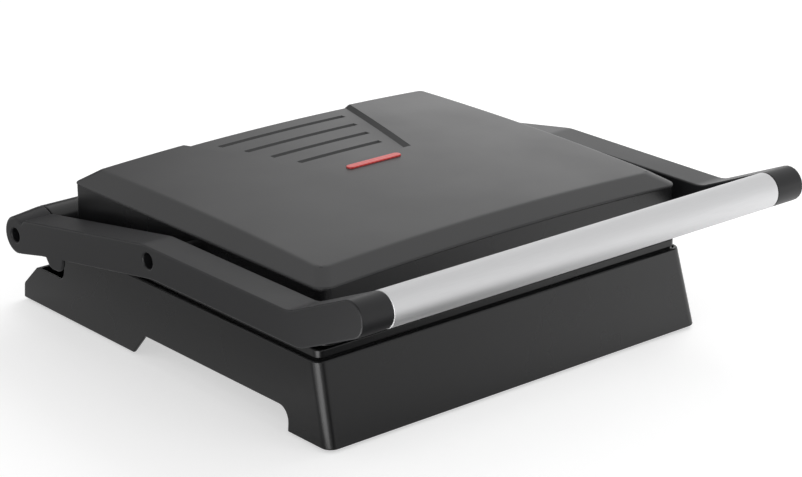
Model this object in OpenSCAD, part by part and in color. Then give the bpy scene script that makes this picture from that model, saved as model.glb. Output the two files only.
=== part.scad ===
// Contact grill: a base, a swinging handle yoke and a lid that tilts in the yoke.
// Lengths are millimetres. Inside the modules x runs to the right, y rearwards from the
// front lower edge of the base, and z up from that edge. stand() then puts the origin
// under the middle of the whole object, on the surface that the feet stand on.

/* [Base] */
// Width of the base across its lower edge
base_w = 302; // [270:1:340]
// Depth of the base along its lower edge
base_d = 320; // [300:1:350]
// Height of the painted skirt above its lower edge
skirt_h = 49.5; // [46:0.5:58]
// How far the front wall leans back over its height
front_rake = 13.6; // [8:0.1:18]
// How far each side wall leans in over its height
side_rake = 2.9; // [1:0.1:5]
// Radius of the upright front corners of the base
base_corner_r = 7; // [4:0.5:12]
// Wall of the moulded base
base_wall = 2.4; // [2:0.1:3]
// Height of the upright rear face below the rear bevel
rear_face_h = 9.2; // [6:0.2:12]
// Distance between the rear face and the hinge axis
hinge_inset = 34; // [32:0.5:38]
// Start of the hand arch in each side wall, from the front
arch_front = 38.4; // [30:0.2:60]
// Length of the hand arch along the lower edge
arch_l = 155.6; // [120:0.2:160]
// Height of the hand arch
arch_h = 14.2; // [10:0.2:14.4]
// Height of the inset rim above the skirt
rim_rise = 5.9; // [4:0.1:8]
// Height of the rubber feet below the base
foot_proud = 2; // [1:0.1:3]
// Radius of a rubber foot
foot_r = 9; // [6:0.5:10]

/* [Hinge and yoke] */
// Height of the hinge axis above the skirt
hinge_rise = 8.3; // [7:0.1:10]
// Radius of the rear hinge barrel
barrel_r = 14.4; // [13:0.1:14.8]
// Radius of the knuckle on its outer face
knuckle_r = 12.1; // [11:0.1:13]
// Gap between the base and the inner face of an arm
arm_gap = 2; // [1.5:0.1:5]
// Width of an arm
arm_w = 22.5; // [18:0.5:26]
// Height of the level middle part of an arm
arm_h = 19.8; // [17:0.2:24]
// Height of the arm's level top above the hinge axis
arm_rise = 33.7; // [32:0.1:35]
// Slope of the front part of the arm, in degrees
arm_tilt = 23.5; // [20:0.5:27]
// Slope of the rear part of the arm, in degrees
arm_fall = 9.3; // [8.8:0.1:9.6]
// Length of the lug below the outer face of an arm
lug_l = 22; // [18:0.5:26]
// Thickness of the lug
lug_t = 2.4; // [2:0.1:4]
// Height of the lug's foot below the hinge axis
lug_drop = 11; // [9:0.1:13]
// Bevel round the outer face of a knuckle
knuckle_bevel = 1; // [0.6:0.1:1.4]
// Distance of the handle tube in front of the base
handle_reach = 49.2; // [44:0.2:60]
// Outer radius of the handle tube
handle_r = 11; // [10:0.1:12]
// Wall of the handle tube
handle_wall = 1.2; // [1:0.1:2]
// Clear height under the handle when the yoke lies right back
flat_gap = 3.8; // [2:0.1:6]
// Radius of the shoulder that each hinge or pivot screw turns on
shoulder_r = 3.4; // [3:0.1:3.8]
// Radius of the screw hole seen in a knuckle
hinge_hole_r = 4.7; // [4.6:0.1:5.2]
// Radius of the screw hole seen beside the lid
pivot_hole_r = 5; // [4.8:0.1:5.4]
// Depth of the two screw holes
hole_depth = 8.5; // [7:0.1:10]

/* [Lid] */
// Gap between the lid and an arm
lid_side_gap = 9.5; // [8:0.1:12]
// Gap between the rim of the base and the lid
lid_gap = 1.8; // [1.6:0.1:3]
// Height of the lid frame at its sides
frame_h = 34.4; // [33.4:0.2:37]
// Height of the tilt axis above the lower edge of the frame
pivot_rise = 25.1; // [24:0.1:26]
// Height of the overhanging lip
lip_h = 1; // [0.8:0.1:1.6]
// Overhang of the lip over the frame
lip_out = 0.4; // [0.2:0.1:0.6]
// Radius of the upright front corners of the lid
lid_corner_r = 8; // [6:0.5:10]
// Width of the front bevel
bevel_front = 14.2; // [10:0.2:18]
// Width of each side bevel
bevel_side = 10.3; // [8:0.1:14]
// Width of the rear bevel
bevel_rear = 13.7; // [10:0.1:18]
// Rise of the bevels at the middle of the sides
bevel_h = 10.2; // [8:0.1:11]
// Crown of the top and of the front edge, from side to side
crown = 3.6; // [2:0.1:4]
// Fall of the top from its highest line to the front
bow = 3.5; // [2:0.1:4]
// Wall of the lid frame
frame_wall = 2.4; // [2:0.1:3]

/* [Vent recess and lamp] */
// Half width of the recess at the rear edge of the top
recess_rear = 69; // [60:0.5:80]
// Half width of the recess at its front end
recess_front = 39; // [34:0.5:48]
// Length of the recess
recess_l = 99.5; // [90:0.5:110]
// Depth of the recess
recess_depth = 2; // [1:0.1:2.4]
// Width of the sloping side of the recess
recess_slope = 5; // [3:0.1:6]
// Number of louvre grooves
groove_n = 4; // [2:1:4]
// Distance of the first groove from the rear edge of the top
groove_rear = 15.8; // [12:0.1:18]
// Distance between grooves
groove_pitch = 19.9; // [14:0.1:20]
// Width of a groove at its floor
groove_w = 1.8; // [1:0.1:4]
// Depth of a groove
groove_depth = 1.5; // [0.8:0.1:1.8]
// Distance of the lamp lens in front of the recess
lens_ahead = 9.5; // [8:0.5:16]
// Length of the lamp lens
lens_l = 43; // [30:0.5:50]
// Width of the lamp lens
lens_w = 6; // [4:0.1:7]
// Height of the lens above the lid
lens_proud = 0.9; // [0.4:0.1:1.6]

/* [Cooking plates] */
// Border between the side of the lid and a plate
plate_border = 14.3; // [12:0.1:20]
// Thickness of the body of a plate under its ribs
plate_t = 6.5; // [5.5:0.1:8]
// Height of a rib
rib_h = 3; // [2:0.1:4]
// Distance between ribs
rib_pitch = 8; // [6:0.1:12]
// Width of a rib at its top
rib_w = 2.6; // [2:0.1:3.4]
// Clear height between the ribs of the closed plates
plate_gap = 3.2; // [3:0.1:5]
// Radius of the sheathed heating element
element_r = 3.25; // [3:0.05:4]
// Clear depth of a heat shield pan
pan_depth = 12; // [10:0.1:13]
// Thickness of the sheet of a heat shield pan
sheet = 0.8; // [0.5:0.1:1.2]

/* [Cord entry] */
// Radius of the hole for the cord
gland_bore_r = 3.6; // [3:0.1:4]
// Distance of the entry in front of the hinge axis
gland_ahead = 34; // [30:0.5:40]
// Height of the entry above the lower edge of the base
gland_z = 31; // [28:0.5:33]

/* [Hidden] */
$fn = 64;

// Clearances
seat = 0.2;          // between pieces that seat in each other
fit = 0.05;          // radial, round a shoulder or a spigot
side_play = 0.4;     // between the faces of pieces that turn on each other
seam = 0.15;         // between the lid's cover and its frame
past = 1;            // how far a cut runs past a face

// Colours
BLACK = "#2a2a2c";
DARK = "#1d1d1f";
SILVER = "#d0d1d3";
STEEL = "#9b9da0";
CAST = "#3a3a3c";
RED = "#d8312c";
RUBBER = "#151515";
CERAMIC = "#e6e0d2";

// Base
base_hw = base_w / 2;
skirt_top_hw = base_hw - side_rake;
hinge_y = base_d - hinge_inset;
hinge_z = skirt_h + hinge_rise;
base_rear_r = base_wall + 0.8;
riser_y = hinge_y - 13.2;
riser_fillet = 6;
ledge_z = hinge_z - 33.6;
bevel_run = 15.2;
tower_r = 5;
cover_t = 2;
cover_z = arch_h + 1.3;
cover_inset = 22.6;

// Rim
rim_hw = skirt_top_hw - base_wall - seat;
rim_front = front_rake + base_wall + seat;
rim_rear = riser_y - base_wall - seat;
rim_z = skirt_h - 3.5;
rim_top = skirt_h + rim_rise;
rim_corner_r = 5;
ledge_t = 4;
ledge_w = 7.5;

// Yoke
arm_in = base_hw + arm_gap;
arm_out = arm_in + arm_w;
handle_z = 2 * hinge_z - handle_r + foot_proud - flat_gap;
arm_top = hinge_z + arm_rise;
arm_low = arm_top - arm_h;
tube_bore_r = handle_r - handle_wall;
screw_seat = arm_out - hole_depth;
thread_r = shoulder_r - 0.6;
thread_l = 22;
head_t = 2.8;

// Lid
frame_z = rim_top + lid_gap;
lid_hw = arm_in - lid_side_gap;
lid_front = front_rake + 0.7;
lid_rear = riser_y - 8.8;
lid_rear_r = frame_wall + 0.8;
lid_mid = (lid_front + lid_rear) / 2;
pivot_y = lid_mid;
pivot_z = frame_z + pivot_rise;
ridge_z = frame_z + frame_h + lip_h;
top_hw = lid_hw - bevel_side;
top_front = lid_front + bevel_front;
top_rear = lid_rear - bevel_rear;
top_r = 8;
top_rear_r = 3.5;
top_peak_y = top_front + 146.5;
top_z = ridge_z + bevel_h;
frame_hw = lid_hw - lip_out;
frame_front = lid_front + lip_out;
frame_rear = lid_rear - lip_out;
frame_corner_r = lid_corner_r - lip_out;
frame_rear_r = lid_rear_r - lip_out;
skin = groove_depth + 1.2;
lens_y = top_rear - recess_l - lens_ahead;

// Plates: everything here is written for the lower plate and mirrored for the upper
plate_hw = lid_hw - plate_border;
plate_front = lid_front + plate_border + 2.4;
plate_rear = lid_rear - plate_border - 0.7;
plate_mid = (plate_front + plate_rear) / 2;
plate_seat_z = rim_z + ledge_t;
flange_t = 2;
rib_foot_z = plate_seat_z + flange_t;
rib_top_z = rib_foot_z + rib_h;
plate_low_z = rib_foot_z - plate_t;
mirror_z = rib_top_z + plate_gap / 2;
plate_r = 8;
lip_w = 4.6;
body_hw = plate_hw - ledge_w + seat;
body_front = plate_front + ledge_w - seat;
body_rear = plate_rear - ledge_w + seat;
screw_x = plate_hw - 3.3;
screw_r = 1.5;
screw_head_r = 3;
screw_head_t = 2;
pan_top_z = plate_low_z - 0.3;
pan_low_z = pan_top_z - pan_depth;
pan_hw = body_hw - 3;
pan_front = body_front + 3;
pan_rear = body_rear - 3;
element_z = plate_low_z - element_r - 0.2;
boss_r = 4;
boss_x = 63;
boss_ys = [plate_front + 42, plate_rear - 42];
plate_screw_ys = [plate_mid - 45, plate_mid + 45];
lid_screw_ys = [plate_front + 10, plate_rear - 10];
upper_ledge_z = 2 * mirror_z - plate_seat_z;
upper_ledge_top = upper_ledge_z + ledge_t;
post_top_z = frame_z + 31;
tower_x = (plate_hw + rim_hw) / 2 + 1;
tower_ys = [rim_front + 22, plate_mid, rim_rear - 34];
leg_ys = [30, base_d - 35];
leg_x = base_hw - 26;
leg_r = foot_r + 3;

// Whole object
reach_front = -handle_reach - handle_r;
mid_y = (reach_front + base_d) / 2;

// ---------------------------------------------------------------- helpers

module stand() {
    translate([0, -mid_y, foot_proud]) children();
}

module flip() {
    translate([0, 0, 2 * mirror_z]) mirror([0, 0, 1]) children();
}

module both_sides() {
    children();
    mirror([1, 0, 0]) children();
}

function unit(v) = v / norm(v);

// Arc that rounds the corner b between a and c with radius r
function corner_arc(a, b, c, r, steps) =
    let (
        u = unit(a - b),
        v = unit(c - b),
        half = acos(max(-1, min(1, u * v))) / 2,
        centre = b + unit(u + v) * r / sin(half),
        p = b + u * r / tan(half) - centre,
        q = b + v * r / tan(half) - centre,
        start = atan2(p[1], p[0]),
        turn = (atan2(q[1], q[0]) - start + 540) % 360 - 180
    )
    [for (i = [0:steps]) centre + r * [cos(start + turn * i / steps), sin(start + turn * i / steps)]];

// Closed outline from corners [u, v, radius]
function rounded(path, steps = 6) =
    let (n = len(path))
    [for (i = [0:n - 1])
        let (
            a = path[(i + n - 1) % n],
            b = path[i],
            c = path[(i + 1) % n]
        )
        each b[2] > 0
            ? corner_arc([a[0], a[1]], [b[0], b[1]], [c[0], c[1]], b[2], steps)
            : [[b[0], b[1]]]];

// Outline moved inwards by d, for points that run anticlockwise
function inset(path, d) =
    let (n = len(path))
    [for (i = [0:n - 1])
        let (
            e1 = unit(path[i] - path[(i + n - 1) % n]),
            e2 = unit(path[(i + 1) % n] - path[i]),
            m = [-e1[1] - e2[1], e1[0] + e2[0]]
        )
        path[i] + m * 2 * d / (m * m)];

// Rounded rectangle as an anticlockwise list of points at height z, q being its rear radius
function ring(x0, x1, y0, y1, r, q, z) =
    [for (p = rounded([[x0, y0, r], [x1, y0, r], [x1, y1, q], [x0, y1, q]])) [p[0], p[1], z]];

// Solid through rings of equally many points, from the lowest to the highest
module loft(rings) {
    n = len(rings[0]);
    k = len(rings);
    sides = [for (j = [0:k - 2]) for (i = [0:n - 1])
        let (
            a = j * n + i,
            b = j * n + (i + 1) % n
        )
        each [[a, b + n, b], [a, a + n, b + n]]];
    polyhedron(
        [for (r = rings) each r],
        concat([[for (i = [0:n - 1]) i]], sides, [[for (i = [n - 1:-1:0]) (k - 1) * n + i]])
    );
}

// Exact rounded plate between two corners; rear is the radius at the back where it is smaller
module slab(x0, x1, y0, y1, r, z0, z1, rear = 0) {
    q = rear > 0 ? rear : r;
    translate([0, 0, z0])
    linear_extrude(z1 - z0)
    union() {
        translate([x0 + r, y0]) square([x1 - x0 - 2 * r, y1 - y0]);
        translate([x0, y0 + r]) square([x1 - x0, y1 - y0 - r - q]);
        translate([x0 + q, y1 - r]) square([x1 - x0 - 2 * q, r]);
        for (x = [x0 + r, x1 - r]) translate([x, y0 + r]) circle(r);
        for (x = [x0 + q, x1 - q]) translate([x, y1 - q]) circle(q);
    }
}

// Shape drawn in y and z, extruded along x
module along_x(x0, x1) {
    translate([x0, 0, 0]) rotate([90, 0, 90]) linear_extrude(x1 - x0) children();
}

module rod_x(x0, x1, y, z, r, r2 = 0) {
    translate([x0, y, z]) rotate([0, 90, 0]) cylinder(h = x1 - x0, r1 = r, r2 = r2 > 0 ? r2 : r);
}

module rod_z(x, y, z0, z1, r) {
    translate([x, y, z0]) cylinder(h = z1 - z0, r = r);
}

// Pan head screw that stands on its head at z0 and reaches z1
module screw_up(x, y, z0, z1) {
    rod_z(x, y, z0 - screw_head_t, z0, screw_head_r);
    rod_z(x, y, z0 - 0.01, z1, screw_r);
}

// ---------------------------------------------------------------- base

// Raked skirt, moved in by d
module skirt(d, z0, z1) {
    lean = [for (z = [z0, z1]) z / skirt_h];
    loft([for (i = [0, 1])
        ring(
            -base_hw + side_rake * lean[i] + d, base_hw - side_rake * lean[i] - d,
            front_rake * lean[i] + d, base_d + past - d,
            base_corner_r - d, base_rear_r - d, [z0, z1][i]
        )]);
}

// Side outline of the base: rear face, bevel, ledge and riser
function base_side(z0, z1) = rounded([
    [-past, z0, 0], [base_d, z0, 0], [base_d, rear_face_h, 0], [base_d - bevel_run, ledge_z, 0],
    [riser_y, ledge_z, riser_fillet], [riser_y, z1, 0], [-past, z1, 0]
]);

module hand_arch() {
    arch_rear = arch_front + arch_l;
    along_x(-base_w, base_w)
    polygon(rounded([
        [arch_front, -past, 0],
        [arch_rear + 0.8, -past, 0],
        [arch_rear - 12, arch_h, 3],
        [arch_front, arch_h, 9]
    ]));
}

// Opening through the ledge below an end of the hinge barrel
module ledge_opening() {
    out_x = base_hw - side_rake * ledge_z / skirt_h - base_wall;
    rear_y = base_d - bevel_run - base_wall;
    translate([ledge_open_x, riser_y + past, ledge_z - 2 * base_wall])
    cube([out_x - ledge_open_x, rear_y - riser_y - past, 2 * base_wall + riser_fillet]);
}

module base_housing() color(BLACK) stand() {
    difference() {
        union() {
            difference() {
                intersection() {
                    skirt(0, 0, skirt_h);
                    along_x(-base_w, base_w) polygon(base_side(-past, skirt_h + past));
                }
                intersection() {
                    skirt(base_wall, -past, skirt_h + past);
                    along_x(-base_w, base_w)
                    polygon(inset(base_side(-20, skirt_h + 20), base_wall));
                }
            }
            both_sides()
            for (y = tower_ys) {
                rod_z(tower_x, y, cover_z + cover_t, rim_z, tower_r);
                translate([tower_x, y - 1.5, cover_z + cover_t])
                cube([rim_hw + 1.2 - tower_x, 3, rim_z - cover_z - cover_t]);
            }
        }
        hand_arch();
        both_sides()
        for (y = tower_ys) rod_z(tower_x, y, cover_z, rim_z + past, screw_r + seat);
        both_sides()
        for (x = barrel_screw_xs) rod_z(x, barrel_foot_y, ledge_z - 9, ledge_z + past, screw_r + seat);
        both_sides() ledge_opening();
        rod_x(base_hw - 12, base_hw + past, gland_y, gland_z, gland_neck_r + fit);
    }
}

// Slot with round ends through the bottom cover
module vent_slot(x, y) {
    r = 1.6;
    l = 45;
    translate([x, y, cover_z - past])
    linear_extrude(cover_t + 2 * past)
    union() {
        translate([-r, -l / 2]) square([2 * r, l]);
        for (end = [-l / 2, l / 2]) translate([0, end]) circle(r);
    }
}

// Value cut to tenths of a millimetre
function tenths(v) = floor(v * 10) / 10;

module bottom_cover() color(DARK) stand() {
    lean = (cover_z + cover_t) / skirt_h;
    hw = tenths(base_hw - side_rake * lean - base_wall - seat);
    front = tenths(front_rake * lean + base_wall + seat + 0.1);
    difference() {
        union() {
            slab(-hw, hw, front, base_d - cover_inset, 5, cover_z, cover_z + cover_t);
            both_sides()
            for (y = leg_ys) rod_z(leg_x, min(y, base_d - cover_inset - leg_r), 0.4, cover_z + 0.5, leg_r);
        }
        both_sides()
        for (y = leg_ys) rod_z(leg_x, min(y, base_d - cover_inset - leg_r), -past, 3, foot_r + fit);
        both_sides()
        for (y = tower_ys) rod_z(tower_x, y, cover_z - past, cover_z + cover_t + past, screw_r + seat);
        both_sides()
        for (x = barrel_screw_xs)
            rod_z(x, barrel_foot_y, cover_z - past, cover_z + cover_t + past, screw_head_r + past);
        for (x = [-66:12:66], y = [plate_mid - 46, plate_mid + 46]) vent_slot(x, y);
    }
}

module rubber_feet() color(RUBBER) stand() {
    both_sides()
    for (y = leg_ys)
        translate([leg_x, min(y, base_d - cover_inset - leg_r), -foot_proud])
        rotate_extrude()
        polygon([[0, 0], [foot_r - 1.2, 0], [foot_r, 1], [foot_r, foot_proud + 3], [0, foot_proud + 3]]);
}

module cover_screws() color(STEEL) stand() {
    both_sides()
    for (y = tower_ys) screw_up(tower_x, y, cover_z, rim_z + 4);
}

// Frame round the lower plate, inset from the skirt with a shadow groove below it
module base_rim() color(BLACK) stand() {
    groove = 1.6;
    difference() {
        slab(-rim_hw, rim_hw, rim_front, rim_rear, rim_corner_r, rim_z, rim_top);
        slab(
            -plate_hw - seat, plate_hw + seat, plate_front - seat, plate_rear + seat,
            plate_r + seat, plate_seat_z, rim_top + past
        );
        slab(
            -body_hw - seat, body_hw + seat, body_front - seat, body_rear + seat,
            plate_r + seat, rim_z - past, rim_top
        );
        difference() {
            slab(-base_w, base_w, -base_d, 2 * base_d, 1, skirt_h - 0.6, skirt_h + 0.8);
            slab(
                -rim_hw + groove, rim_hw - groove, rim_front + groove, rim_rear - groove,
                rim_corner_r - groove, skirt_h - past, skirt_h + past
            );
        }
        both_sides()
        for (y = tower_ys) rod_z(tower_x, y, rim_z - past, rim_z + 4.3, screw_r + fit);
        both_sides()
        for (y = plate_screw_ys) rod_z(screw_x, y, rim_z - past, rim_top, screw_r + seat);
    }
}

gland_y = hinge_y - gland_ahead;
gland_neck_r = gland_bore_r + 1.8;

// Grommet for the mains cord in the right wall
module cord_gland() color(RUBBER) stand() {
    wall_x = base_hw - side_rake * gland_z / skirt_h;
    flange_x = wall_x + side_rake * (gland_neck_r + 2) / skirt_h;
    difference() {
        union() {
            rod_x(wall_x - base_wall - 4, flange_x + 1.2, gland_y, gland_z, gland_neck_r);
            rod_x(flange_x + 0.05, flange_x + 1.3, gland_y, gland_z, gland_neck_r + 2);
            rod_x(wall_x - base_wall - 4, wall_x - base_wall - 0.7, gland_y, gland_z, gland_neck_r + 1.6);
        }
        rod_x(base_hw - 20, base_hw + 20, gland_y, gland_z, gland_bore_r);
    }
}

module terminal_block() color(CERAMIC) stand() {
    z0 = cover_z + cover_t;
    translate([leg_x - 36, gland_y - 9, z0])
    difference() {
        cube([30, 14, 9]);
        for (x = [5, 15, 25]) {
            translate([x, 7, 4]) cylinder(h = 6, r = 1.8);
            translate([x, -past, 3]) rotate([-90, 0, 0]) cylinder(h = 20, r = 1.4);
        }
    }
}

// ---------------------------------------------------------------- plates and heaters

// Cooking plate with tapered ribs, a grease gutter and a raised edge
module grill_plate() {
    rib_span = plate_hw - lip_w - 6;
    rib_n = floor(rib_span / rib_pitch);
    draft = 0.9;
    end_run = 7;
    ribs_front = plate_front + lip_w + 5;
    ribs_rear = plate_rear - lip_w - 5;
    difference() {
        union() {
            slab(
                -plate_hw, plate_hw, plate_front, plate_rear,
                plate_r, plate_seat_z, rib_foot_z
            );
            slab(
                -body_hw, body_hw, body_front, body_rear,
                plate_r, plate_low_z, plate_seat_z + 0.1
            );
            difference() {
                slab(
                    -plate_hw, plate_hw, plate_front, plate_rear,
                    plate_r, rib_foot_z - 0.1, rib_top_z - 0.6
                );
                slab(
                    -plate_hw + lip_w, plate_hw - lip_w, plate_front + lip_w, plate_rear - lip_w,
                    plate_r - lip_w, rib_foot_z - 0.5, rib_top_z + past
                );
            }
            intersection() {
                translate([0, ribs_rear, 0])
                rotate([90, 0, 0])
                linear_extrude(ribs_rear - ribs_front)
                for (i = [-rib_n:rib_n])
                    polygon([
                        [i * rib_pitch - rib_w / 2 - draft, rib_foot_z - 0.1],
                        [i * rib_pitch + rib_w / 2 + draft, rib_foot_z - 0.1],
                        [i * rib_pitch + rib_w / 2, rib_top_z],
                        [i * rib_pitch - rib_w / 2, rib_top_z]
                    ]);
                along_x(-plate_hw, plate_hw)
                polygon([
                    [ribs_front, rib_foot_z - 0.5], [ribs_rear, rib_foot_z - 0.5],
                    [ribs_rear, rib_foot_z], [ribs_rear - end_run, rib_top_z],
                    [ribs_front + end_run, rib_top_z], [ribs_front, rib_foot_z]
                ]);
            }
            both_sides()
            for (y = boss_ys) rod_z(boss_x, y, pan_low_z + sheet, plate_low_z + 0.1, boss_r);
        }
        both_sides()
        for (y = boss_ys) rod_z(boss_x, y, pan_low_z, plate_low_z - 2, screw_r);
        both_sides()
        for (y = plate_screw_ys) rod_z(screw_x, y, plate_seat_z - past, rib_top_z - 1.4, screw_r);
    }
}

module plate_screws() {
    both_sides()
    for (y = plate_screw_ys) screw_up(screw_x, y, rim_z, rib_top_z - 1.6);
}

// Sheathed element bent in an M, with its two cold ends at the rear
module element() {
    leg = [pan_hw - 24, (pan_hw - 24) / 3];
    bend_r = (leg[0] - leg[1]) / 2;
    front = pan_front + 12 + bend_r;
    rear = pan_rear - 14 - leg[1];
    both_sides()
    translate([(leg[0] + leg[1]) / 2, front, element_z])
    rotate([0, 0, 180])
    rotate_extrude(angle = 180)
    translate([bend_r, 0]) circle(element_r);
    translate([0, rear, element_z])
    rotate_extrude(angle = 180)
    translate([leg[1], 0]) circle(element_r);
    both_sides() {
        translate([leg[1], rear, element_z]) rotate([90, 0, 0]) cylinder(h = rear - front, r = element_r);
        translate([leg[0], pan_rear - 18, element_z])
        rotate([90, 0, 0])
        cylinder(h = pan_rear - 18 - front, r = element_r);
        translate([leg[0], pan_rear - 8, element_z]) rotate([90, 0, 0]) cylinder(h = 10.1, r = 1.2);
    }
}

// Shallow sheet pan that keeps the heat off the casing
module reflector() {
    difference() {
        slab(-pan_hw, pan_hw, pan_front, pan_rear, 6, pan_low_z, pan_top_z);
        slab(
            -pan_hw + sheet, pan_hw - sheet, pan_front + sheet, pan_rear - sheet,
            6 - sheet, pan_low_z + sheet, pan_top_z + past
        );
        both_sides()
        for (y = boss_ys) rod_z(boss_x, y, pan_low_z - past, pan_low_z + sheet + past, screw_r + seat);
        both_sides()
        rod_z(pan_hw - 12, pan_rear - 12, pan_low_z - past, pan_low_z + sheet + past, 4);
    }
}

module reflector_screws() {
    both_sides()
    for (y = boss_ys) screw_up(boss_x, y, pan_low_z, plate_low_z - 2.4);
}

// Bimetal disc thermostat with its two tags
module thermostat() {
    top = plate_low_z - 0.2;
    translate([0, plate_mid, top - 7])
    rotate_extrude()
    polygon([[0, 0], [7.5, 0], [7.5, 4.5], [8.5, 4.5], [8.5, 7], [0, 7]]);
    for (y = [plate_mid - 12.4, plate_mid + 7.4]) translate([-2.5, y, top - 3.5]) cube([5, 5, 0.8]);
}

module lower_plate() color(CAST) stand() grill_plate();
module lower_element() color(STEEL) stand() element();
module lower_reflector() color(SILVER) stand() reflector();
module lower_thermostat() color(CERAMIC) stand() thermostat();
module lower_plate_screws() color(STEEL) stand() plate_screws();
module lower_reflector_screws() color(STEEL) stand() reflector_screws();

module thermal_fuse() color(STEEL) stand() {
    z = plate_low_z - 2.6;
    rod_x(-9, 9, plate_mid + 24, z, 2.4);
    rod_x(-15, 15, plate_mid + 24, z, 0.7);
}

module upper_plate() color(CAST) stand() flip() grill_plate();
module upper_element() color(STEEL) stand() flip() element();
module upper_reflector() color(SILVER) stand() flip() reflector();
module upper_thermostat() color(CERAMIC) stand() flip() thermostat();
module upper_plate_screws() color(STEEL) stand() flip() plate_screws();
module upper_reflector_screws() color(STEEL) stand() flip() reflector_screws();

// ---------------------------------------------------------------- hinge

barrel_foot_y = hinge_y + 12;
bracket_x = [84, 124];
bracket_front = hinge_y - 4.4;
ledge_open_x = bracket_x[1] + 4;
barrel_screw_xs = [92, 116];

// Barrel between the knuckles, on two brackets that stand on the rear ledge
module hinge_barrel() color(BLACK) stand() {
    end_x = arm_in - side_play;
    difference() {
        union() {
            rod_x(-end_x, end_x, hinge_y, hinge_z, barrel_r);
            both_sides()
            along_x(bracket_x[0], bracket_x[1])
            polygon(rounded([
                [bracket_front, ledge_z, 0],
                [hinge_y + 18, ledge_z, 0],
                [hinge_y + 18, ledge_z + 6, 3],
                [hinge_y + 8, ledge_z + 9, 4],
                [hinge_y + 6, hinge_z, 0],
                [hinge_y - 8, hinge_z, 0],
                [bracket_front, ledge_z + 8, 4]
            ]));
        }
        both_sides() {
            rod_x(end_x - thread_l - 1, end_x + past, hinge_y, hinge_z, thread_r);
            for (x = barrel_screw_xs) rod_z(x, barrel_foot_y, ledge_z - past, ledge_z + 5, screw_r + fit);
        }
    }
}

module barrel_screws() color(STEEL) stand() {
    both_sides()
    for (x = barrel_screw_xs) screw_up(x, barrel_foot_y, ledge_z - base_wall, ledge_z + 4.6);
}

// Shoulder screw: head in the arm, thread in what the arm turns on
module shoulder_screw(y, z, face_x, head_r) {
    difference() {
        union() {
            rod_x(face_x - thread_l, face_x + 0.1, y, z, thread_r);
            rod_x(face_x, screw_seat + seat, y, z, shoulder_r);
            rod_x(screw_seat + seat, screw_seat + seat + head_t, y, z, head_r);
        }
        translate([screw_seat + seat + head_t - 1.2, y - head_r, z - 0.5]) cube([2, 2 * head_r, 1]);
    }
}

module right_hinge_pin() color(STEEL) stand() {
    shoulder_screw(hinge_y, hinge_z, arm_in - side_play, hinge_hole_r - 0.4);
}

module left_hinge_pin() color(STEEL) mirror([1, 0, 0]) stand() {
    shoulder_screw(hinge_y, hinge_z, arm_in - side_play, hinge_hole_r - 0.4);
}

module right_lid_pivot() color(STEEL) stand() {
    shoulder_screw(pivot_y, pivot_z, arm_in - side_play, pivot_hole_r - 0.4);
}

module left_lid_pivot() color(STEEL) mirror([1, 0, 0]) stand() {
    shoulder_screw(pivot_y, pivot_z, arm_in - side_play, pivot_hole_r - 0.4);
}

bush_r = shoulder_r + 1.1;

// Nylon bush in an arm, for a shoulder at y and z
module bush(y, z) {
    difference() {
        rod_x(arm_in, screw_seat, y, z, bush_r);
        rod_x(arm_in - past, screw_seat + past, y, z, shoulder_r + fit);
    }
}

module hinge_bushes() color(CERAMIC) stand() both_sides() bush(hinge_y, hinge_z);
module pivot_bushes() color(CERAMIC) stand() both_sides() bush(pivot_y, pivot_z);

// ---------------------------------------------------------------- yoke

// Side outline of an arm, without the knuckle
function arm_side() =
    let (
        t = [-cos(arm_tilt), sin(arm_tilt)],
        n = [sin(arm_tilt), cos(arm_tilt)],
        grip = [-handle_reach, handle_z],
        top_run = grip + handle_r * n,
        low_run = grip - handle_r * n,
        top_kink = pivot_y + 5.5,
        low_kink = pivot_y - 4.5,
        fall = tan(arm_fall),
        nose_top = top_run + handle_r * t,
        nose_low = low_run + handle_r * t,
        top_end = hinge_y - 10,
        low_end = hinge_y - 29.5
    )
    rounded([
        [top_end, arm_top - fall * (top_end - top_kink), 3],
        [top_kink, arm_top, 40],
        [top_run[0] + (top_run[1] - arm_top) / tan(arm_tilt), arm_top, 26],
        [nose_top[0], nose_top[1], handle_r],
        [nose_low[0], nose_low[1], handle_r],
        [low_run[0] + (low_run[1] - arm_low) / tan(arm_tilt), arm_low, 26],
        [low_kink, arm_low, 40],
        [low_end, arm_low - fall * (low_end - low_kink), 4],
        [hinge_y - 4.5, hinge_z - knuckle_r + 0.6, 0],
        [hinge_y, hinge_z, 0]
    ]);

// Outline of the rounded lug below an arm, near its knuckle
function lug_side() =
    let (
        front = hinge_y - 54.2,
        foot = hinge_z - lug_drop
    )
    rounded([
        [front - 0.6, foot + 14, 0],
        [front + 0.8, foot, 7.5],
        [front + lug_l - 7, foot, 7],
        [front + lug_l, foot + 9, 0],
        [front + lug_l, foot + 14, 0]
    ]);

module arm() {
    difference() {
        union() {
            along_x(arm_in, arm_out) polygon(arm_side());
            along_x(arm_out - lug_t, arm_out) polygon(lug_side());
            rod_x(arm_in, arm_out - knuckle_bevel, hinge_y, hinge_z, barrel_r, knuckle_r);
            rod_x(
                arm_out - knuckle_bevel, arm_out, hinge_y, hinge_z,
                knuckle_r, knuckle_r - knuckle_bevel
            );
            rod_x(arm_in - 18, arm_in + 2, -handle_reach, handle_z, tube_bore_r - fit);
        }
        for (hole = [[hinge_y, hinge_z, hinge_hole_r], [pivot_y, pivot_z, pivot_hole_r]]) {
            rod_x(screw_seat, arm_out + past, hole[0], hole[1], hole[2]);
            rod_x(arm_in - past, screw_seat + past, hole[0], hole[1], bush_r);
        }
    }
}

module right_arm() color(BLACK) stand() arm();
module left_arm() color(BLACK) stand() mirror([1, 0, 0]) arm();

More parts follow.
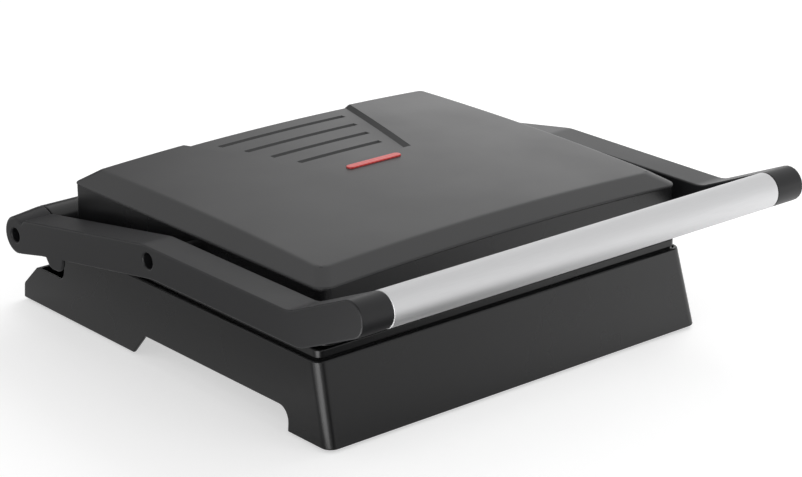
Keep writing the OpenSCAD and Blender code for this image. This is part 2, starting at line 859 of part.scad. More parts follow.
module handle_tube() color(SILVER) stand() {
    difference() {
        rod_x(-arm_in, arm_in, -handle_reach, handle_z, handle_r);
        rod_x(-arm_in - past, arm_in + past, -handle_reach, handle_z, tube_bore_r);
    }
}

// ---------------------------------------------------------------- lid

// Height of the edge between the cover and its bevels: crowned at the front, level at the rear
function ridge_at(x, y) =
    ridge_z + crown * (1 - pow(x / lid_hw, 2)) * (lid_rear - y) / (lid_rear - lid_front);
function top_at(x, y) =
    top_z + crown * (1 - pow(x / top_hw, 2)) - bow * pow((y - top_peak_y) / 146.5, 2);

// Half width of the recess at y; in front of the recess its columns run straight on
function recess_hw(y) =
    let (s = min(1, max(0, (top_rear - y) / recess_l)))
    recess_rear + (recess_front - recess_rear) * s;

grid_hw = top_hw - top_r;
grid_front = top_front + top_r;
grid_rear = top_rear - top_r;
grid_mid = (grid_front + grid_rear) / 2;
recess_y = top_rear - recess_l;
groove_end = 13;
groove_flank = 0.5;

// Rows of the top surface: [y, part of the recess depth, part of the groove depth]
function groove_y(i) = top_rear - groove_rear - groove_pitch * i;
top_rows = concat(
    [for (s = [0:0.25:1]) [grid_front + (recess_y - grid_front) * s, 0, 0]],
    [[recess_y + recess_slope, 1, 0]],
    [for (i = [groove_n - 1:-1:0]) for (f = [[-1, 0], [-0.5, 1], [0.5, 1], [1, 0]])
        [groove_y(i) + f[0] * groove_w + sign(f[0]) * groove_flank * (1 - f[1]), 1, f[1]]],
    [[grid_rear, 1, 0]]
);

// Columns on the right half at y: [x, inside the recess, inside a groove]
function half_columns(y) =
    let (
        r = recess_hw(y),
        g = r - groove_end - groove_flank
    )
    [
        [g / 2, 1, 1], [g, 1, 1], [g + groove_flank, 1, 0], [r - recess_slope, 1, 0], [r, 0, 0],
        [(2 * r + grid_hw) / 3, 0, 0], [(r + 2 * grid_hw) / 3, 0, 0], [grid_hw, 0, 0]
    ];
function columns(y) =
    let (half = half_columns(y))
    concat(
        [for (i = [len(half) - 1:-1:0]) [-half[i][0], half[i][1], half[i][2]]],
        [[0, 1, 1]],
        half
    );

// Points of the top surface, or of the inner one when sunk is the skin below it
function top_grid(sunk) =
    [for (row = top_rows) for (c = columns(row[0]))
        [
            c[0], row[0],
            top_at(c[0], row[0]) - recess_depth * row[1] * c[1]
            - (sunk > 0 ? sunk : groove_depth * row[2] * c[2])
        ]];

col_n = len(columns(0));
row_n = len(top_rows);
fan = 5;

// Border of the grid, anticlockwise: [grid index, outward x, outward y, recess share]
border = concat(
    [for (i = [0:fan]) [0, -cos(90 * i / fan), -sin(90 * i / fan), 0]],
    [for (c = [1:col_n - 2]) [c, 0, -1, 0]],
    [for (i = [0:fan]) [col_n - 1, sin(90 * i / fan), -cos(90 * i / fan), 0]],
    [for (r = [1:row_n - 2]) [r * col_n + col_n - 1, 1, 0, 0]],
    [for (i = [0:fan]) [row_n * col_n - 1, cos(90 * i / fan), sin(90 * i / fan), 0]],
    [for (c = [col_n - 2:-1:1]) [(row_n - 1) * col_n + c, 0, 1, columns(grid_rear)[c][1]]],
    [for (i = [0:fan]) [(row_n - 1) * col_n, -sin(90 * i / fan), cos(90 * i / fan), 0]],
    [for (r = [row_n - 2:-1:1]) [r * col_n, -1, 0, 0]]
);

// Ring of the border on a rounded rectangle, q being its rear radius: plan positions only
function lid_ring(hw, y0, y1, front_r, q) =
    let (flat = top_grid(0))
    [for (b = border)
        let (
            p = flat[b[0]],
            r = p[1] > grid_mid ? q : front_r
        )
        [
            p[0] / grid_hw * (hw - r) + r * b[1],
            (y0 + y1) / 2 + (p[1] - grid_mid) / (grid_rear - grid_mid) * ((y1 - y0) / 2 - r) + r * b[2]
        ]];

// The moulded cover: top surface, bevels, lip and the inner surface as one closed skin
module cover_shell() {
    edge = lid_ring(top_hw, top_front, top_rear, top_r, top_rear_r);
    ridge = lid_ring(lid_hw, lid_front, lid_rear, lid_corner_r, lid_rear_r);
    seat_ring = lid_ring(
        lid_hw - frame_wall, lid_front + frame_wall, lid_rear - frame_wall,
        lid_corner_r - frame_wall, lid_rear_r - frame_wall
    );
    edge_z = [for (i = [0:len(edge) - 1]) top_at(edge[i][0], edge[i][1]) - recess_depth * border[i][3]];
    rings = [
        [for (i = [0:len(edge) - 1]) [edge[i][0], edge[i][1], edge_z[i]]],
        [for (p = ridge) [p[0], p[1], ridge_at(p[0], p[1])]],
        [for (p = ridge) [p[0], p[1], ridge_at(p[0], p[1]) - lip_h]],
        [for (p = seat_ring) [p[0], p[1], ridge_at(p[0], p[1]) - lip_h]],
        [for (i = [0:len(edge) - 1])
            [edge[i][0], edge[i][1], edge_z[i] - skin]]
    ];
    outer = top_grid(0);
    inner = top_grid(skin);
    m = len(border);
    g = len(outer);
    function outer_id(i) = border[i % m][0];
    function ring_id(k, i) = g + k * m + i % m;
    function inner_id(i) = g + 5 * m + border[i % m][0];
    grid_faces = [for (r = [0:row_n - 2]) for (c = [0:col_n - 2])
        let (a = r * col_n + c)
        each [[a, a + col_n + 1, a + 1], [a, a + col_n, a + col_n + 1]]];
    inner_faces = [for (f = grid_faces) [for (i = [2, 1, 0]) f[i] + g + 5 * m]];
    join_outer = [for (i = [0:m - 1])
        each concat(
            outer_id(i) == outer_id(i + 1) ? [] : [[outer_id(i), outer_id(i + 1), ring_id(0, i + 1)]],
            [[outer_id(i), ring_id(0, i + 1), ring_id(0, i)]]
        )];
    walls = [for (k = [0:3]) for (i = [0:m - 1])
        each [
            [ring_id(k, i), ring_id(k, i + 1), ring_id(k + 1, i + 1)],
            [ring_id(k, i), ring_id(k + 1, i + 1), ring_id(k + 1, i)]
        ]];
    join_inner = [for (i = [0:m - 1])
        each concat(
            inner_id(i) == inner_id(i + 1) ? [] : [[ring_id(4, i + 1), inner_id(i + 1), inner_id(i)]],
            [[ring_id(4, i), ring_id(4, i + 1), inner_id(i)]]
        )];
    polyhedron(
        concat(outer, [for (r = rings) each r], inner),
        concat(grid_faces, join_outer, walls, join_inner, inner_faces)
    );
}

// Capsule in plan, l long and w wide, between two heights
module capsule(l, w, z0, z1) {
    translate([0, lens_y, z0])
    linear_extrude(z1 - z0)
    union() {
        translate([-(l - w) / 2, -w / 2]) square([l - w, w]);
        for (x = [-(l - w) / 2, (l - w) / 2]) translate([x, 0]) circle(w / 2);
    }
}

module lid_cover() color(BLACK) stand() {
    difference() {
        union() {
            cover_shell();
            both_sides()
            for (y = lid_screw_ys) rod_z(screw_x, y, post_top_z, top_at(screw_x, y) - 1.2, 4.5);
        }
        capsule(lens_l + 2 * fit, lens_w + 2 * fit, top_z - 20, top_z + 20);
        both_sides()
        for (y = lid_screw_ys) rod_z(screw_x, y, post_top_z - past, post_top_z + 7, screw_r + fit);
    }
}

module lamp_lens() color(RED) stand() {
    face = top_at(0, lens_y);
    capsule(lens_l, lens_w, face - skin - 1.6, face + lens_proud);
    capsule(lens_l + 5, lens_w + 4, face - skin - 1.8, face - skin - 0.4);
}

module lamp_holder() color(CERAMIC) stand() {
    top = top_at(0, lens_y) - skin - 2;
    difference() {
        translate([-lens_l / 2 - 3, lens_y - 6, top - 8]) cube([lens_l + 6, 12, 8]);
        translate([-lens_l / 2, lens_y - 4.5, top - 5]) cube([lens_l, 9, 6]);
    }
    for (x = [-12, 12]) rod_x(x - 5, x + 5, lens_y, top - 3.2, 2);
}

// Body under the cover: walls, plate ledge, pivot bosses and screw posts
module lid_frame() color(BLACK) stand() {
    inner_hw = frame_hw - frame_wall;
    inner_front = frame_front + frame_wall;
    inner_rear = frame_rear - frame_wall;
    inner_r = frame_corner_r - frame_wall;
    inner_rear_r = frame_rear_r - frame_wall;
    boss_face = arm_in - side_play;
    difference() {
        union() {
            intersection() {
                difference() {
                    slab(
                        -frame_hw, frame_hw, frame_front, frame_rear,
                        frame_corner_r, frame_z, ridge_z + crown, frame_rear_r
                    );
                    slab(
                        -inner_hw, inner_hw, inner_front, inner_rear,
                        inner_r, frame_z - past, ridge_z + crown + past, inner_rear_r
                    );
                }
                crown_block();
            }
            slab(
                -inner_hw - 1, inner_hw + 1, inner_front - 1, inner_rear + 1,
                inner_r, frame_z, frame_z + 3, inner_rear_r
            );
            slab(
                -inner_hw - 1, inner_hw + 1, inner_front - 1, inner_rear + 1,
                inner_r, upper_ledge_z, upper_ledge_top, inner_rear_r
            );
            slab(
                -plate_hw - 2.6, plate_hw + 2.6, plate_front - 2.6, plate_rear + 2.6,
                plate_r + 2, frame_z, upper_ledge_top
            );
            both_sides() {
                rod_x(inner_hw - 9, inner_hw + 1, pivot_y, pivot_z, 8);
                rod_x(inner_hw - 9, boss_face, pivot_y, pivot_z, thread_r + 2);
                for (y = lid_screw_ys) rod_z(screw_x, y, upper_ledge_z, post_top_z, 4.5);
            }
        }
        slab(
            -plate_hw - seat, plate_hw + seat, plate_front - seat, plate_rear + seat,
            plate_r + seat, frame_z - past, upper_ledge_z
        );
        slab(
            -body_hw - seat, body_hw + seat, body_front - seat, body_rear + seat,
            plate_r + seat, frame_z - past, upper_ledge_top + past
        );
        both_sides() {
            rod_x(boss_face - thread_l - 1, boss_face + past, pivot_y, pivot_z, thread_r);
            for (y = lid_screw_ys) {
                rod_z(screw_x, y, upper_ledge_z - past, post_top_z + past, screw_r + seat);
                rod_z(screw_x, y, upper_ledge_z - past, upper_ledge_z + screw_head_t + seat, screw_head_r + seat);
            }
            for (y = plate_screw_ys) rod_z(screw_x, y, upper_ledge_z - past, upper_ledge_top + past, screw_r + seat);
        }
    }
}

// Everything below the seat of the cover: crowned, but level along the rear wall
module crown_block() {
    steps = 24;
    drop = lip_h + seam;
    difference() {
        translate([0, 2 * base_d, 0])
        rotate([90, 0, 0])
        linear_extrude(3 * base_d)
        polygon(concat(
            [[lid_hw, 0], [-lid_hw, 0]],
            [for (i = [-steps / 2:steps / 2])
                let (x = 2 * lid_hw * i / steps)
                [x, ridge_at(x, lid_front) - drop]]
        ));
        translate([-base_w, lid_rear - 2 * frame_wall, ridge_z - drop])
        cube([2 * base_w, base_d, 2 * crown]);
    }
}

module lid_screws() color(STEEL) stand() {
    both_sides()
    for (y = lid_screw_ys) screw_up(screw_x, y, upper_ledge_z + screw_head_t + seat, post_top_z + 6.6);
}

base_housing();
bottom_cover();
base_rim();
rubber_feet();
cover_screws();
lower_plate();
lower_element();
lower_reflector();
lower_thermostat();
lower_plate_screws();
lower_reflector_screws();
thermal_fuse();
terminal_block();
cord_gland();
hinge_barrel();
barrel_screws();
left_hinge_pin();
right_hinge_pin();
left_arm();
right_arm();
handle_tube();
hinge_bushes();
pivot_bushes();
lid_cover();
lid_frame();
lid_screws();
upper_plate();
upper_element();
upper_reflector();
upper_thermostat();
upper_plate_screws();
upper_reflector_screws();
lamp_lens();
lamp_holder();
left_lid_pivot();
right_lid_pivot();
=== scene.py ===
"""Looks of a contact grill: its finishes, its softened mouldings, and the studio around it."""

import logging
import math
from collections.abc import Callable, Iterable
from dataclasses import dataclass
from enum import Enum

import bmesh
import bpy
from mathutils import Matrix, Vector


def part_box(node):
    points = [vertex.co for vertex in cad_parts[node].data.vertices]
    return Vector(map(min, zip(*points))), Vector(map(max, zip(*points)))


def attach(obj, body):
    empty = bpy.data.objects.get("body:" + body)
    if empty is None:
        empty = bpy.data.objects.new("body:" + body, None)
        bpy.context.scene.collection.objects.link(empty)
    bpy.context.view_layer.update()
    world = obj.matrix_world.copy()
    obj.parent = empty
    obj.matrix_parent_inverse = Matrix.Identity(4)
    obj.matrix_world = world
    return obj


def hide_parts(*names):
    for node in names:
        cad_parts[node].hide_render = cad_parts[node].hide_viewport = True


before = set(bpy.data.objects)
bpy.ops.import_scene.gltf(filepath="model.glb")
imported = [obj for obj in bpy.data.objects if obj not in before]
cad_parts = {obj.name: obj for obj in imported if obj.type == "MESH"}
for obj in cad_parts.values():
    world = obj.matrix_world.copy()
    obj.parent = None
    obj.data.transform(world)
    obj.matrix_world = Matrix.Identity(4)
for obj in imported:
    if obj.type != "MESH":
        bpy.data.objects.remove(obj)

LOG = logging.getLogger("contact_grill")
MM = 0.001
TINY = 1e-6
# Most of what a Noise texture gives lies between these
PATTERN_LOW, PATTERN_HIGH = 0.3, 0.7
# Length of one band of a Wave texture at a scale of 1, in metres
WAVE_PERIOD = 0.314
# How near the corners of a node's loose triangles lie to be one corner
MERGE_REACH = 0.002 * MM
# Faces that turn less than this are one flat face
FLAT_DEGREES = 0.05
# How near a cutting plane passes to a corner to go through it
CUT_SNAP = 0.02 * MM
SOFT_EDGE_STEPS = 3
TURNING_STEPS = 96


class Body(Enum):
    """The rigid bodies that pieces ride on."""

    BASE = "base"
    YOKE = "yoke"
    LID = "lid"


class Slot(Enum):
    """The record's material slots, passed along with the new pieces."""

    HOUSING = "housing"
    ARM = "arm"
    LID = "lid"
    TUBE = "tube"
    CAST_PLATE = "cast_plate"
    LENS = "red_lens"


# ---------------------------------------------------------------- materials


def linear(hex_colour: str) -> tuple[float, float, float, float]:
    """Turns an sRGB hex colour into linear RGBA.

    Args:
        hex_colour: Six hex digits after a hash.

    Returns:
        Red, green, blue and an alpha of 1.
    """
    parts = [int(hex_colour[i : i + 2], 16) / 255 for i in (1, 3, 5)]
    return (*(p / 12.92 if p <= 0.04045 else ((p + 0.055) / 1.055) ** 2.4 for p in parts), 1.0)


def add_node(
    tree: bpy.types.NodeTree, kind: str, inputs: dict[str | int, object] | None = None, **settings: object
) -> bpy.types.Node:
    """Adds a shader node with its settings and links.

    Args:
        tree: The node tree that gets the node.
        kind: The node's type name.
        inputs: A value, or another node's output socket, for each input by name or index.
        **settings: Properties of the node.

    Returns:
        The new node.
    """
    node = tree.nodes.new(kind)
    for key, value in settings.items():
        setattr(node, key, value)
    for socket, value in (inputs or {}).items():
        if isinstance(value, bpy.types.NodeSocket):
            tree.links.new(value, node.inputs[socket])
        else:
            node.inputs[socket].default_value = value
    return node


def place(
    tree: bpy.types.NodeTree, stretch: tuple[float, float, float] = (1, 1, 1)
) -> bpy.types.NodeSocket:
    """Object coordinates, stretched along an axis where the surface is worked along it.

    Args:
        tree: The material's node tree.
        stretch: Scale of the pattern along each axis.

    Returns:
        The vector output to feed a texture.
    """
    where = add_node(tree, "ShaderNodeTexCoord").outputs["Object"]
    return add_node(tree, "ShaderNodeMapping", {"Vector": where, "Scale": stretch}).outputs["Vector"]


@dataclass(frozen=True)
class Finish:
    """A finish that a maker would order by name."""

    name: str
    colour: str
    roughness: float

    def material(self) -> bpy.types.Material:
        """The Blender material, made once.

        Returns:
            The material, which pieces of the same finish share.
        """
        found = bpy.data.materials.get(self.name)
        if found:
            return found
        made = bpy.data.materials.new(self.name)
        made.use_nodes = True
        made.diffuse_color = linear(self.colour)
        tree = made.node_tree
        shader = tree.nodes["Principled BSDF"]
        shader.inputs["Base Color"].default_value = linear(self.colour)
        shader.inputs["Roughness"].default_value = self.roughness
        self.detail(tree, shader)
        return made

    def detail(self, tree: bpy.types.NodeTree, shader: bpy.types.Node) -> None:
        """Adds what makes the finish more than a flat colour."""

    def tint(
        self, tree: bpy.types.NodeTree, shader: bpy.types.Node, mask: bpy.types.NodeSocket, other: str
    ) -> None:
        """Mixes the colour with another one by a mask.

        Args:
            tree: The material's node tree.
            shader: The principled shader.
            mask: 0 for this finish's colour and 1 for the other.
            other: The other colour as hex.
        """
        ramp = add_node(tree, "ShaderNodeValToRGB", {"Fac": mask})
        ramp.color_ramp.elements[0].color = linear(self.colour)
        ramp.color_ramp.elements[1].color = linear(other)
        tree.links.new(ramp.outputs["Color"], shader.inputs["Base Color"])

    def vary_gloss(
        self,
        tree: bpy.types.NodeTree,
        shader: bpy.types.Node,
        pattern: bpy.types.NodeSocket,
        smoother: float,
        duller: float,
    ) -> None:
        """Lets the roughness follow a pattern.

        Args:
            tree: The material's node tree.
            shader: The principled shader.
            pattern: The texture's output.
            smoother: How far the roughness falls where the pattern is low.
            duller: How far it rises where the pattern is high.
        """
        limits = {
            "Value": pattern,
            "From Min": PATTERN_LOW,
            "From Max": PATTERN_HIGH,
            "To Min": self.roughness - smoother,
            "To Max": self.roughness + duller,
        }
        varied = add_node(tree, "ShaderNodeMapRange", limits)
        tree.links.new(varied.outputs["Result"], shader.inputs["Roughness"])

    def emboss(
        self,
        tree: bpy.types.NodeTree,
        shader: bpy.types.Node,
        pattern: bpy.types.NodeSocket,
        strength: float,
        depth_mm: float,
    ) -> None:
        """Lets the surface rise and fall with a pattern.

        Args:
            tree: The material's node tree.
            shader: The principled shader.
            pattern: The texture's output.
            strength: How much of the relief shows.
            depth_mm: Height of the relief in millimetres.
        """
        relief = {"Height": pattern, "Strength": strength, "Distance": depth_mm * MM}
        bump = add_node(tree, "ShaderNodeBump", relief)
        tree.links.new(bump.outputs["Normal"], shader.inputs["Normal"])


@dataclass(frozen=True)
class MouldedPlastic(Finish):
    """Plastic moulded in a spark-eroded tool: an even fine grain that spreads its highlights."""

    cloud: str
    specular_level: float
    grain_depth: float = 0.1
    grain_mm: float = 0.5
    grain_high_mm: float = 0.05
    flow_mm: float = 60

    def detail(self, tree: bpy.types.NodeTree, shader: bpy.types.Node) -> None:
        """Grain as relief, and slow flow marks in colour and gloss.

        Args:
            tree: The material's node tree.
            shader: The principled shader.
        """
        shader.inputs["Specular IOR Level"].default_value = self.specular_level
        here = place(tree)
        # The tool's grain is near 0.1 mm. It is drawn coarser, so that it shows in the render.
        grain_look = {"Vector": here, "Scale": 1 / (self.grain_mm * MM), "Detail": 2.0}
        grain = add_node(tree, "ShaderNodeTexNoise", grain_look)
        flow_look = {"Vector": here, "Scale": 1 / (self.flow_mm * MM), "Detail": 3.0}
        flow = add_node(tree, "ShaderNodeTexNoise", flow_look)
        self.emboss(tree, shader, grain.outputs["Fac"], self.grain_depth, self.grain_high_mm)
        self.tint(tree, shader, flow.outputs["Fac"], self.cloud)
        self.vary_gloss(tree, shader, flow.outputs["Fac"], smoother=0.02, duller=0.03)


@dataclass(frozen=True)
class SatinTube(Finish):
    """Aluminium tube, satin anodised: fine lines along it blur the highlight across it."""

    line_mm: float = 0.35
    line_high_mm: float = 0.02
    # The lines are fifty times as long along X as they are wide
    stretch: tuple[float, float, float] = (0.02, 1, 1)

    def detail(self, tree: bpy.types.NodeTree, shader: bpy.types.Node) -> None:
        """Long fine lines along the tube in gloss and relief.

        Args:
            tree: The material's node tree.
            shader: The principled shader.
        """
        shader.inputs["Metallic"].default_value = 1.0
        # Real lines are near 0.05 mm wide. They are drawn coarser, so that they show in the render.
        look = {"Vector": place(tree, self.stretch), "Scale": 1 / (self.line_mm * MM), "Detail": 3.0}
        lines = add_node(tree, "ShaderNodeTexNoise", look)
        self.vary_gloss(tree, shader, lines.outputs["Fac"], smoother=0.04, duller=0.05)
        self.emboss(tree, shader, lines.outputs["Fac"], 0.08, self.line_high_mm)


@dataclass(frozen=True)
class CoatedCasting(Finish):
    """Die-cast aluminium with a sprayed non-stick coat: dark, orange-peeled, with pale specks."""

    fleck: str
    cell_mm: float = 1.6
    speck_share: float = 0.16
    peel_mm: float = 0.9
    peel_high_mm: float = 0.1

    def detail(self, tree: bpy.types.NodeTree, shader: bpy.types.Node) -> None:
        """Specks in the coat, and its uneven skin.

        Args:
            tree: The material's node tree.
            shader: The principled shader.
        """
        here = place(tree)
        # One mica speck to a cell, near 0.3 mm across
        cells = {"Vector": here, "Scale": 1 / (self.cell_mm * MM)}
        specks = add_node(tree, "ShaderNodeTexVoronoi", cells)
        edge = {
            "Value": specks.outputs["Distance"],
            "From Min": self.speck_share,
            "From Max": self.speck_share / 2,
            "To Min": 0.0,
            "To Max": 0.6,
        }
        mask = add_node(tree, "ShaderNodeMapRange", edge)
        self.tint(tree, shader, mask.outputs["Result"], self.fleck)
        skin = {"Vector": here, "Scale": 1 / (self.peel_mm * MM), "Detail": 2.0}
        peel = add_node(tree, "ShaderNodeTexNoise", skin)
        self.emboss(tree, shader, peel.outputs["Fac"], 0.15, self.peel_high_mm)
        self.vary_gloss(tree, shader, peel.outputs["Fac"], smoother=0.05, duller=0.08)


@dataclass(frozen=True)
class WorkedMetal(Finish):
    """Rolled sheet, drawn sheath or plated screw: bare metal with the marks of its making."""

    other: str
    mark_mm: float
    mark_high_mm: float = 0.05

    def detail(self, tree: bpy.types.NodeTree, shader: bpy.types.Node) -> None:
        """Patchy colour and gloss, and faint marks.

        Args:
            tree: The material's node tree.
            shader: The principled shader.
        """
        shader.inputs["Metallic"].default_value = 1.0
        look = {"Vector": place(tree), "Scale": 1 / (self.mark_mm * MM), "Detail": 4.0}
        marks = add_node(tree, "ShaderNodeTexNoise", look)
        self.tint(tree, shader, marks.outputs["Fac"], self.other)
        self.vary_gloss(tree, shader, marks.outputs["Fac"], smoother=0.06, duller=0.08)
        self.emboss(tree, shader, marks.outputs["Fac"], 0.1, self.mark_high_mm)


@dataclass(frozen=True)
class PaleInsulator(Finish):
    """Steatite or natural nylon: pale, a little mottled, dull."""

    mottle: str
    mottle_mm: float = 3
    mottle_high_mm: float = 0.05

    def detail(self, tree: bpy.types.NodeTree, shader: bpy.types.Node) -> None:
        """Mottled colour and a powdery skin.

        Args:
            tree: The material's node tree.
            shader: The principled shader.
        """
        look = {"Vector": place(tree), "Scale": 1 / (self.mottle_mm * MM), "Detail": 4.0}
        mottle = add_node(tree, "ShaderNodeTexNoise", look)
        self.tint(tree, shader, mottle.outputs["Fac"], self.mottle)
        self.emboss(tree, shader, mottle.outputs["Fac"], 0.1, self.mottle_high_mm)


@dataclass(frozen=True)
class LampLens(Finish):
    """Red polycarbonate with a fluted inner face: the flutes show as faint bands."""

    band: str
    flute_mm: float = 3.2

    def detail(self, tree: bpy.types.NodeTree, shader: bpy.types.Node) -> None:
        """Flutes across the lens, seen through its gloss.

        Args:
            tree: The material's node tree.
            shader: The principled shader.
        """
        shader.inputs["Coat Weight"].default_value = 0.15
        shader.inputs["Coat Roughness"].default_value = 0.08
        scale = WAVE_PERIOD / (self.flute_mm * MM)
        look = {"Vector": place(tree), "Scale": scale, "Distortion": 1.2, "Detail": 1.0}
        flutes = add_node(tree, "ShaderNodeTexWave", look, bands_direction="X")
        limits = {"Value": flutes.outputs["Fac"], "From Min": 0.35, "To Max": 0.8}
        mask = add_node(tree, "ShaderNodeMapRange", limits)
        self.tint(tree, shader, mask.outputs["Result"], self.band)


# Glass-filled PBT, moulded: near black. The smoothest of the mouldings, so its corners catch bands.
HOUSING_PBT = MouldedPlastic(
    "glass_filled_pbt_black", "#161617", 0.26, cloud="#1a1a1b", specular_level=0.35
)
# The same with a coarse tool grain, which hardly shines
COVER_PBT = MouldedPlastic(
    "cover_pbt_matt_black", "#151516", 0.6, cloud="#191919", specular_level=0.3, grain_depth=0.2
)
ARM_PBT = MouldedPlastic("arm_pbt_satin_black", "#18181a", 0.44, cloud="#1c1c1e", specular_level=0.35)
# Charcoal, and a little glossier than the arms
LID_PBT = MouldedPlastic("lid_pbt_satin_charcoal", "#272728", 0.4, cloud="#2b2b2c", specular_level=0.5)
# Satin anodised: pale, with one wide soft highlight along it
HANDLE_ALUMINIUM = SatinTube("satin_anodised_aluminium", "#d2d2d3", 0.56)
# PTFE coat, sprayed and baked: dark and faintly uneven
NON_STICK = CoatedCasting("cast_aluminium_non_stick", "#1c1c1d", 0.42, fleck="#6a6a6c")
# Rolled: bright, with a long soft patchiness
SHIELD_ALUMINIUM = WorkedMetal("rolled_aluminium_sheet", "#d8d9da", 0.3, other="#c2c3c5", mark_mm=6.0)
# Drawn and annealed: straw to grey
SHEATH_STEEL = WorkedMetal("annealed_sheath_steel", "#6f6b66", 0.45, other="#57524d", mark_mm=4.0)
# Zinc plated: mid grey with a fine bloom
ZINC_STEEL = WorkedMetal("zinc_plated_steel", "#8f9092", 0.35, other="#7a7b7e", mark_mm=1.5)
# Oxide blackened: dark with a dull metal shine
BLACK_STEEL = WorkedMetal("blackened_screw_steel", "#2b2b2c", 0.4, other="#1e1e1f", mark_mm=1.5)
# Pressed and fired, unglazed: cream and dry
STEATITE = PaleInsulator("fired_steatite", "#ded7c6", 0.7, mottle="#cfc6b2")
# Moulded without pigment: milky, with a waxy shine
NYLON = PaleInsulator("natural_nylon", "#d9d3c2", 0.45, mottle="#cbc4b0")
# Moulded rubber: black and dull
FOOT_RUBBER = MouldedPlastic(
    "moulded_rubber", "#101010", 0.8, cloud="#151515", specular_level=0.3, grain_depth=0.3
)
RED_LENS = LampLens("red_polycarbonate", "#d43230", 0.35, band="#e04a45")


# ---------------------------------------------------------------- mesh helpers


def new_piece(
    name: str, bm: bmesh.types.BMesh, sharp_degrees: float = 34, turn_outwards: bool = True
) -> bpy.types.Object:
    """Turns a bmesh into an object at the origin, smooth but for its sharp edges.

    Args:
        name: Name of the piece.
        bm: The mesh, which is freed.
        sharp_degrees: Edges that turn more than this stay sharp.
        turn_outwards: Whether the faces are made to point outwards first.

    Returns:
        The linked object.
    """
    if turn_outwards:
        bmesh.ops.recalc_face_normals(bm, faces=bm.faces[:])
    mesh = bpy.data.meshes.new(name)
    bm.to_mesh(mesh)
    bm.free()
    mesh.shade_smooth()
    mesh.set_sharp_from_angle(angle=math.radians(sharp_degrees))
    piece = bpy.data.objects.new(name, mesh)
    bpy.context.scene.collection.objects.link(piece)
    weighted = piece.modifiers.new("even_normals", "WEIGHTED_NORMAL")
    weighted.keep_sharp = True
    return piece


def merged_copy(node: str) -> bmesh.types.BMesh:
    """A merged copy of a node's loose triangles, with its flat faces whole.

    Args:
        node: Name of the node.

    Returns:
        The copy as a bmesh.
    """
    bm = bmesh.new()
    bm.from_mesh(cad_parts[node].data)
    bmesh.ops.remove_doubles(bm, verts=bm.verts[:], dist=MERGE_REACH)
    flat = math.radians(FLAT_DEGREES)
    bmesh.ops.dissolve_limit(
        bm, angle_limit=flat, verts=bm.verts[:], edges=bm.edges[:], delimit={"NORMAL"}
    )
    return bm


def round_edges(
    bm: bmesh.types.BMesh,
    edges: list[bmesh.types.BMEdge],
    radius: float,
    steps: int,
    slide: bool = False,
) -> None:
    """Rounds the edges that are given.

    Args:
        bm: The mesh to change.
        edges: Its edges to round.
        radius: How far the rounding reaches from an edge.
        steps: Steps of the rounding.
        slide: Whether the rounding follows the edges that it meets.
    """
    bmesh.ops.bevel(
        bm,
        geom=edges,
        offset=radius,
        offset_type="OFFSET",
        segments=steps,
        profile=0.5,
        affect="EDGES",
        clamp_overlap=False,
        loop_slide=slide,
        material=-1,
    )


def soften(bm: bmesh.types.BMesh, radius: float, least_degrees: float) -> None:
    """Rounds the outer edges of a moulding.

    Args:
        bm: The mesh to change.
        radius: How far the rounding reaches from an edge.
        least_degrees: Edges that turn less than this are left.
    """
    least = math.radians(least_degrees)
    outer = [e for e in bm.edges if e.is_manifold and e.is_convex and e.calc_face_angle(0) > least]
    round_edges(bm, outer, radius, SOFT_EDGE_STEPS, slide=True)


def rounded_sheet(
    bm: bmesh.types.BMesh,
    low: Vector,
    high: Vector,
    front_r: float,
    rear_r: float,
    corner_steps: int,
    side_cuts: int,
) -> bmesh.types.BMFace:
    """A flat face with round corners and evenly cut sides.

    Args:
        bm: The mesh that gets it.
        low: Its lowest corner.
        high: Its highest corner, at the same height.
        front_r: Radius of its two front corners.
        rear_r: Radius of its two rear corners.
        corner_steps: Steps round each corner.
        side_cuts: Cuts in each straight side.

    Returns:
        The face.
    """
    size = high - low
    into_place = Matrix.Translation((low + high) / 2) @ Matrix.Diagonal((size.x, size.y, 1, 1))
    made = bmesh.ops.create_grid(bm, x_segments=1, y_segments=1, size=0.5, matrix=into_place)
    middle = (low.y + high.y) / 2
    corners = {
        front_r: [v for v in made["verts"] if v.co.y < middle],
        rear_r: [v for v in made["verts"] if v.co.y > middle],
    }
    for radius, verts in corners.items():
        bmesh.ops.bevel(
            bm,
            geom=verts,
            offset=radius,
            offset_type="OFFSET",
            segments=corner_steps,
            profile=0.5,
            affect="VERTICES",
            material=-1,
        )
    # The sheet is the face at its height that has more corners than the grid's four
    face = min(
        bm.faces,
        key=lambda f: abs(f.calc_center_median().z - low.z) + (0 if len(f.verts) > 4 else 1),
    )
    sides = sorted(face.edges, key=lambda e: -e.calc_length())[:4]
    bmesh.ops.subdivide_edges(bm, edges=sides, cuts=side_cuts)
    return face


def cut(
    bm: bmesh.types.BMesh, point: Vector, normal: Vector, where: Callable[[Vector], bool]
) -> None:
    """Cuts the chosen faces along a plane, without parting them.

    Args:
        bm: The mesh to cut.
        point: A point on the plane.
        normal: The plane's normal.
        where: Says by its centre whether a face is meant.
    """
    faces = [f for f in bm.faces if where(f.calc_center_median())]
    edges = {e for f in faces for e in f.edges}
    verts = {v for f in faces for v in f.verts}
    bmesh.ops.bisect_plane(
        bm, geom=[*faces, *edges, *verts], dist=CUT_SNAP, plane_co=point, plane_no=normal
    )


def drop_doubles(bm: bmesh.types.BMesh) -> None:
    """Deletes a face that lies on another one with the same corners, and keeps the upper side.

    Args:
        bm: The mesh to clean.
    """
    kept: set[frozenset[int]] = set()
    doubled = []
    bm.verts.index_update()
    for face in sorted(bm.faces, key=lambda f: -f.normal.z):
        corners = frozenset(v.index for v in face.verts)
        if corners in kept:
            doubled.append(face)
        kept.add(corners)
    bmesh.ops.delete(bm, geom=doubled, context="FACES_ONLY")


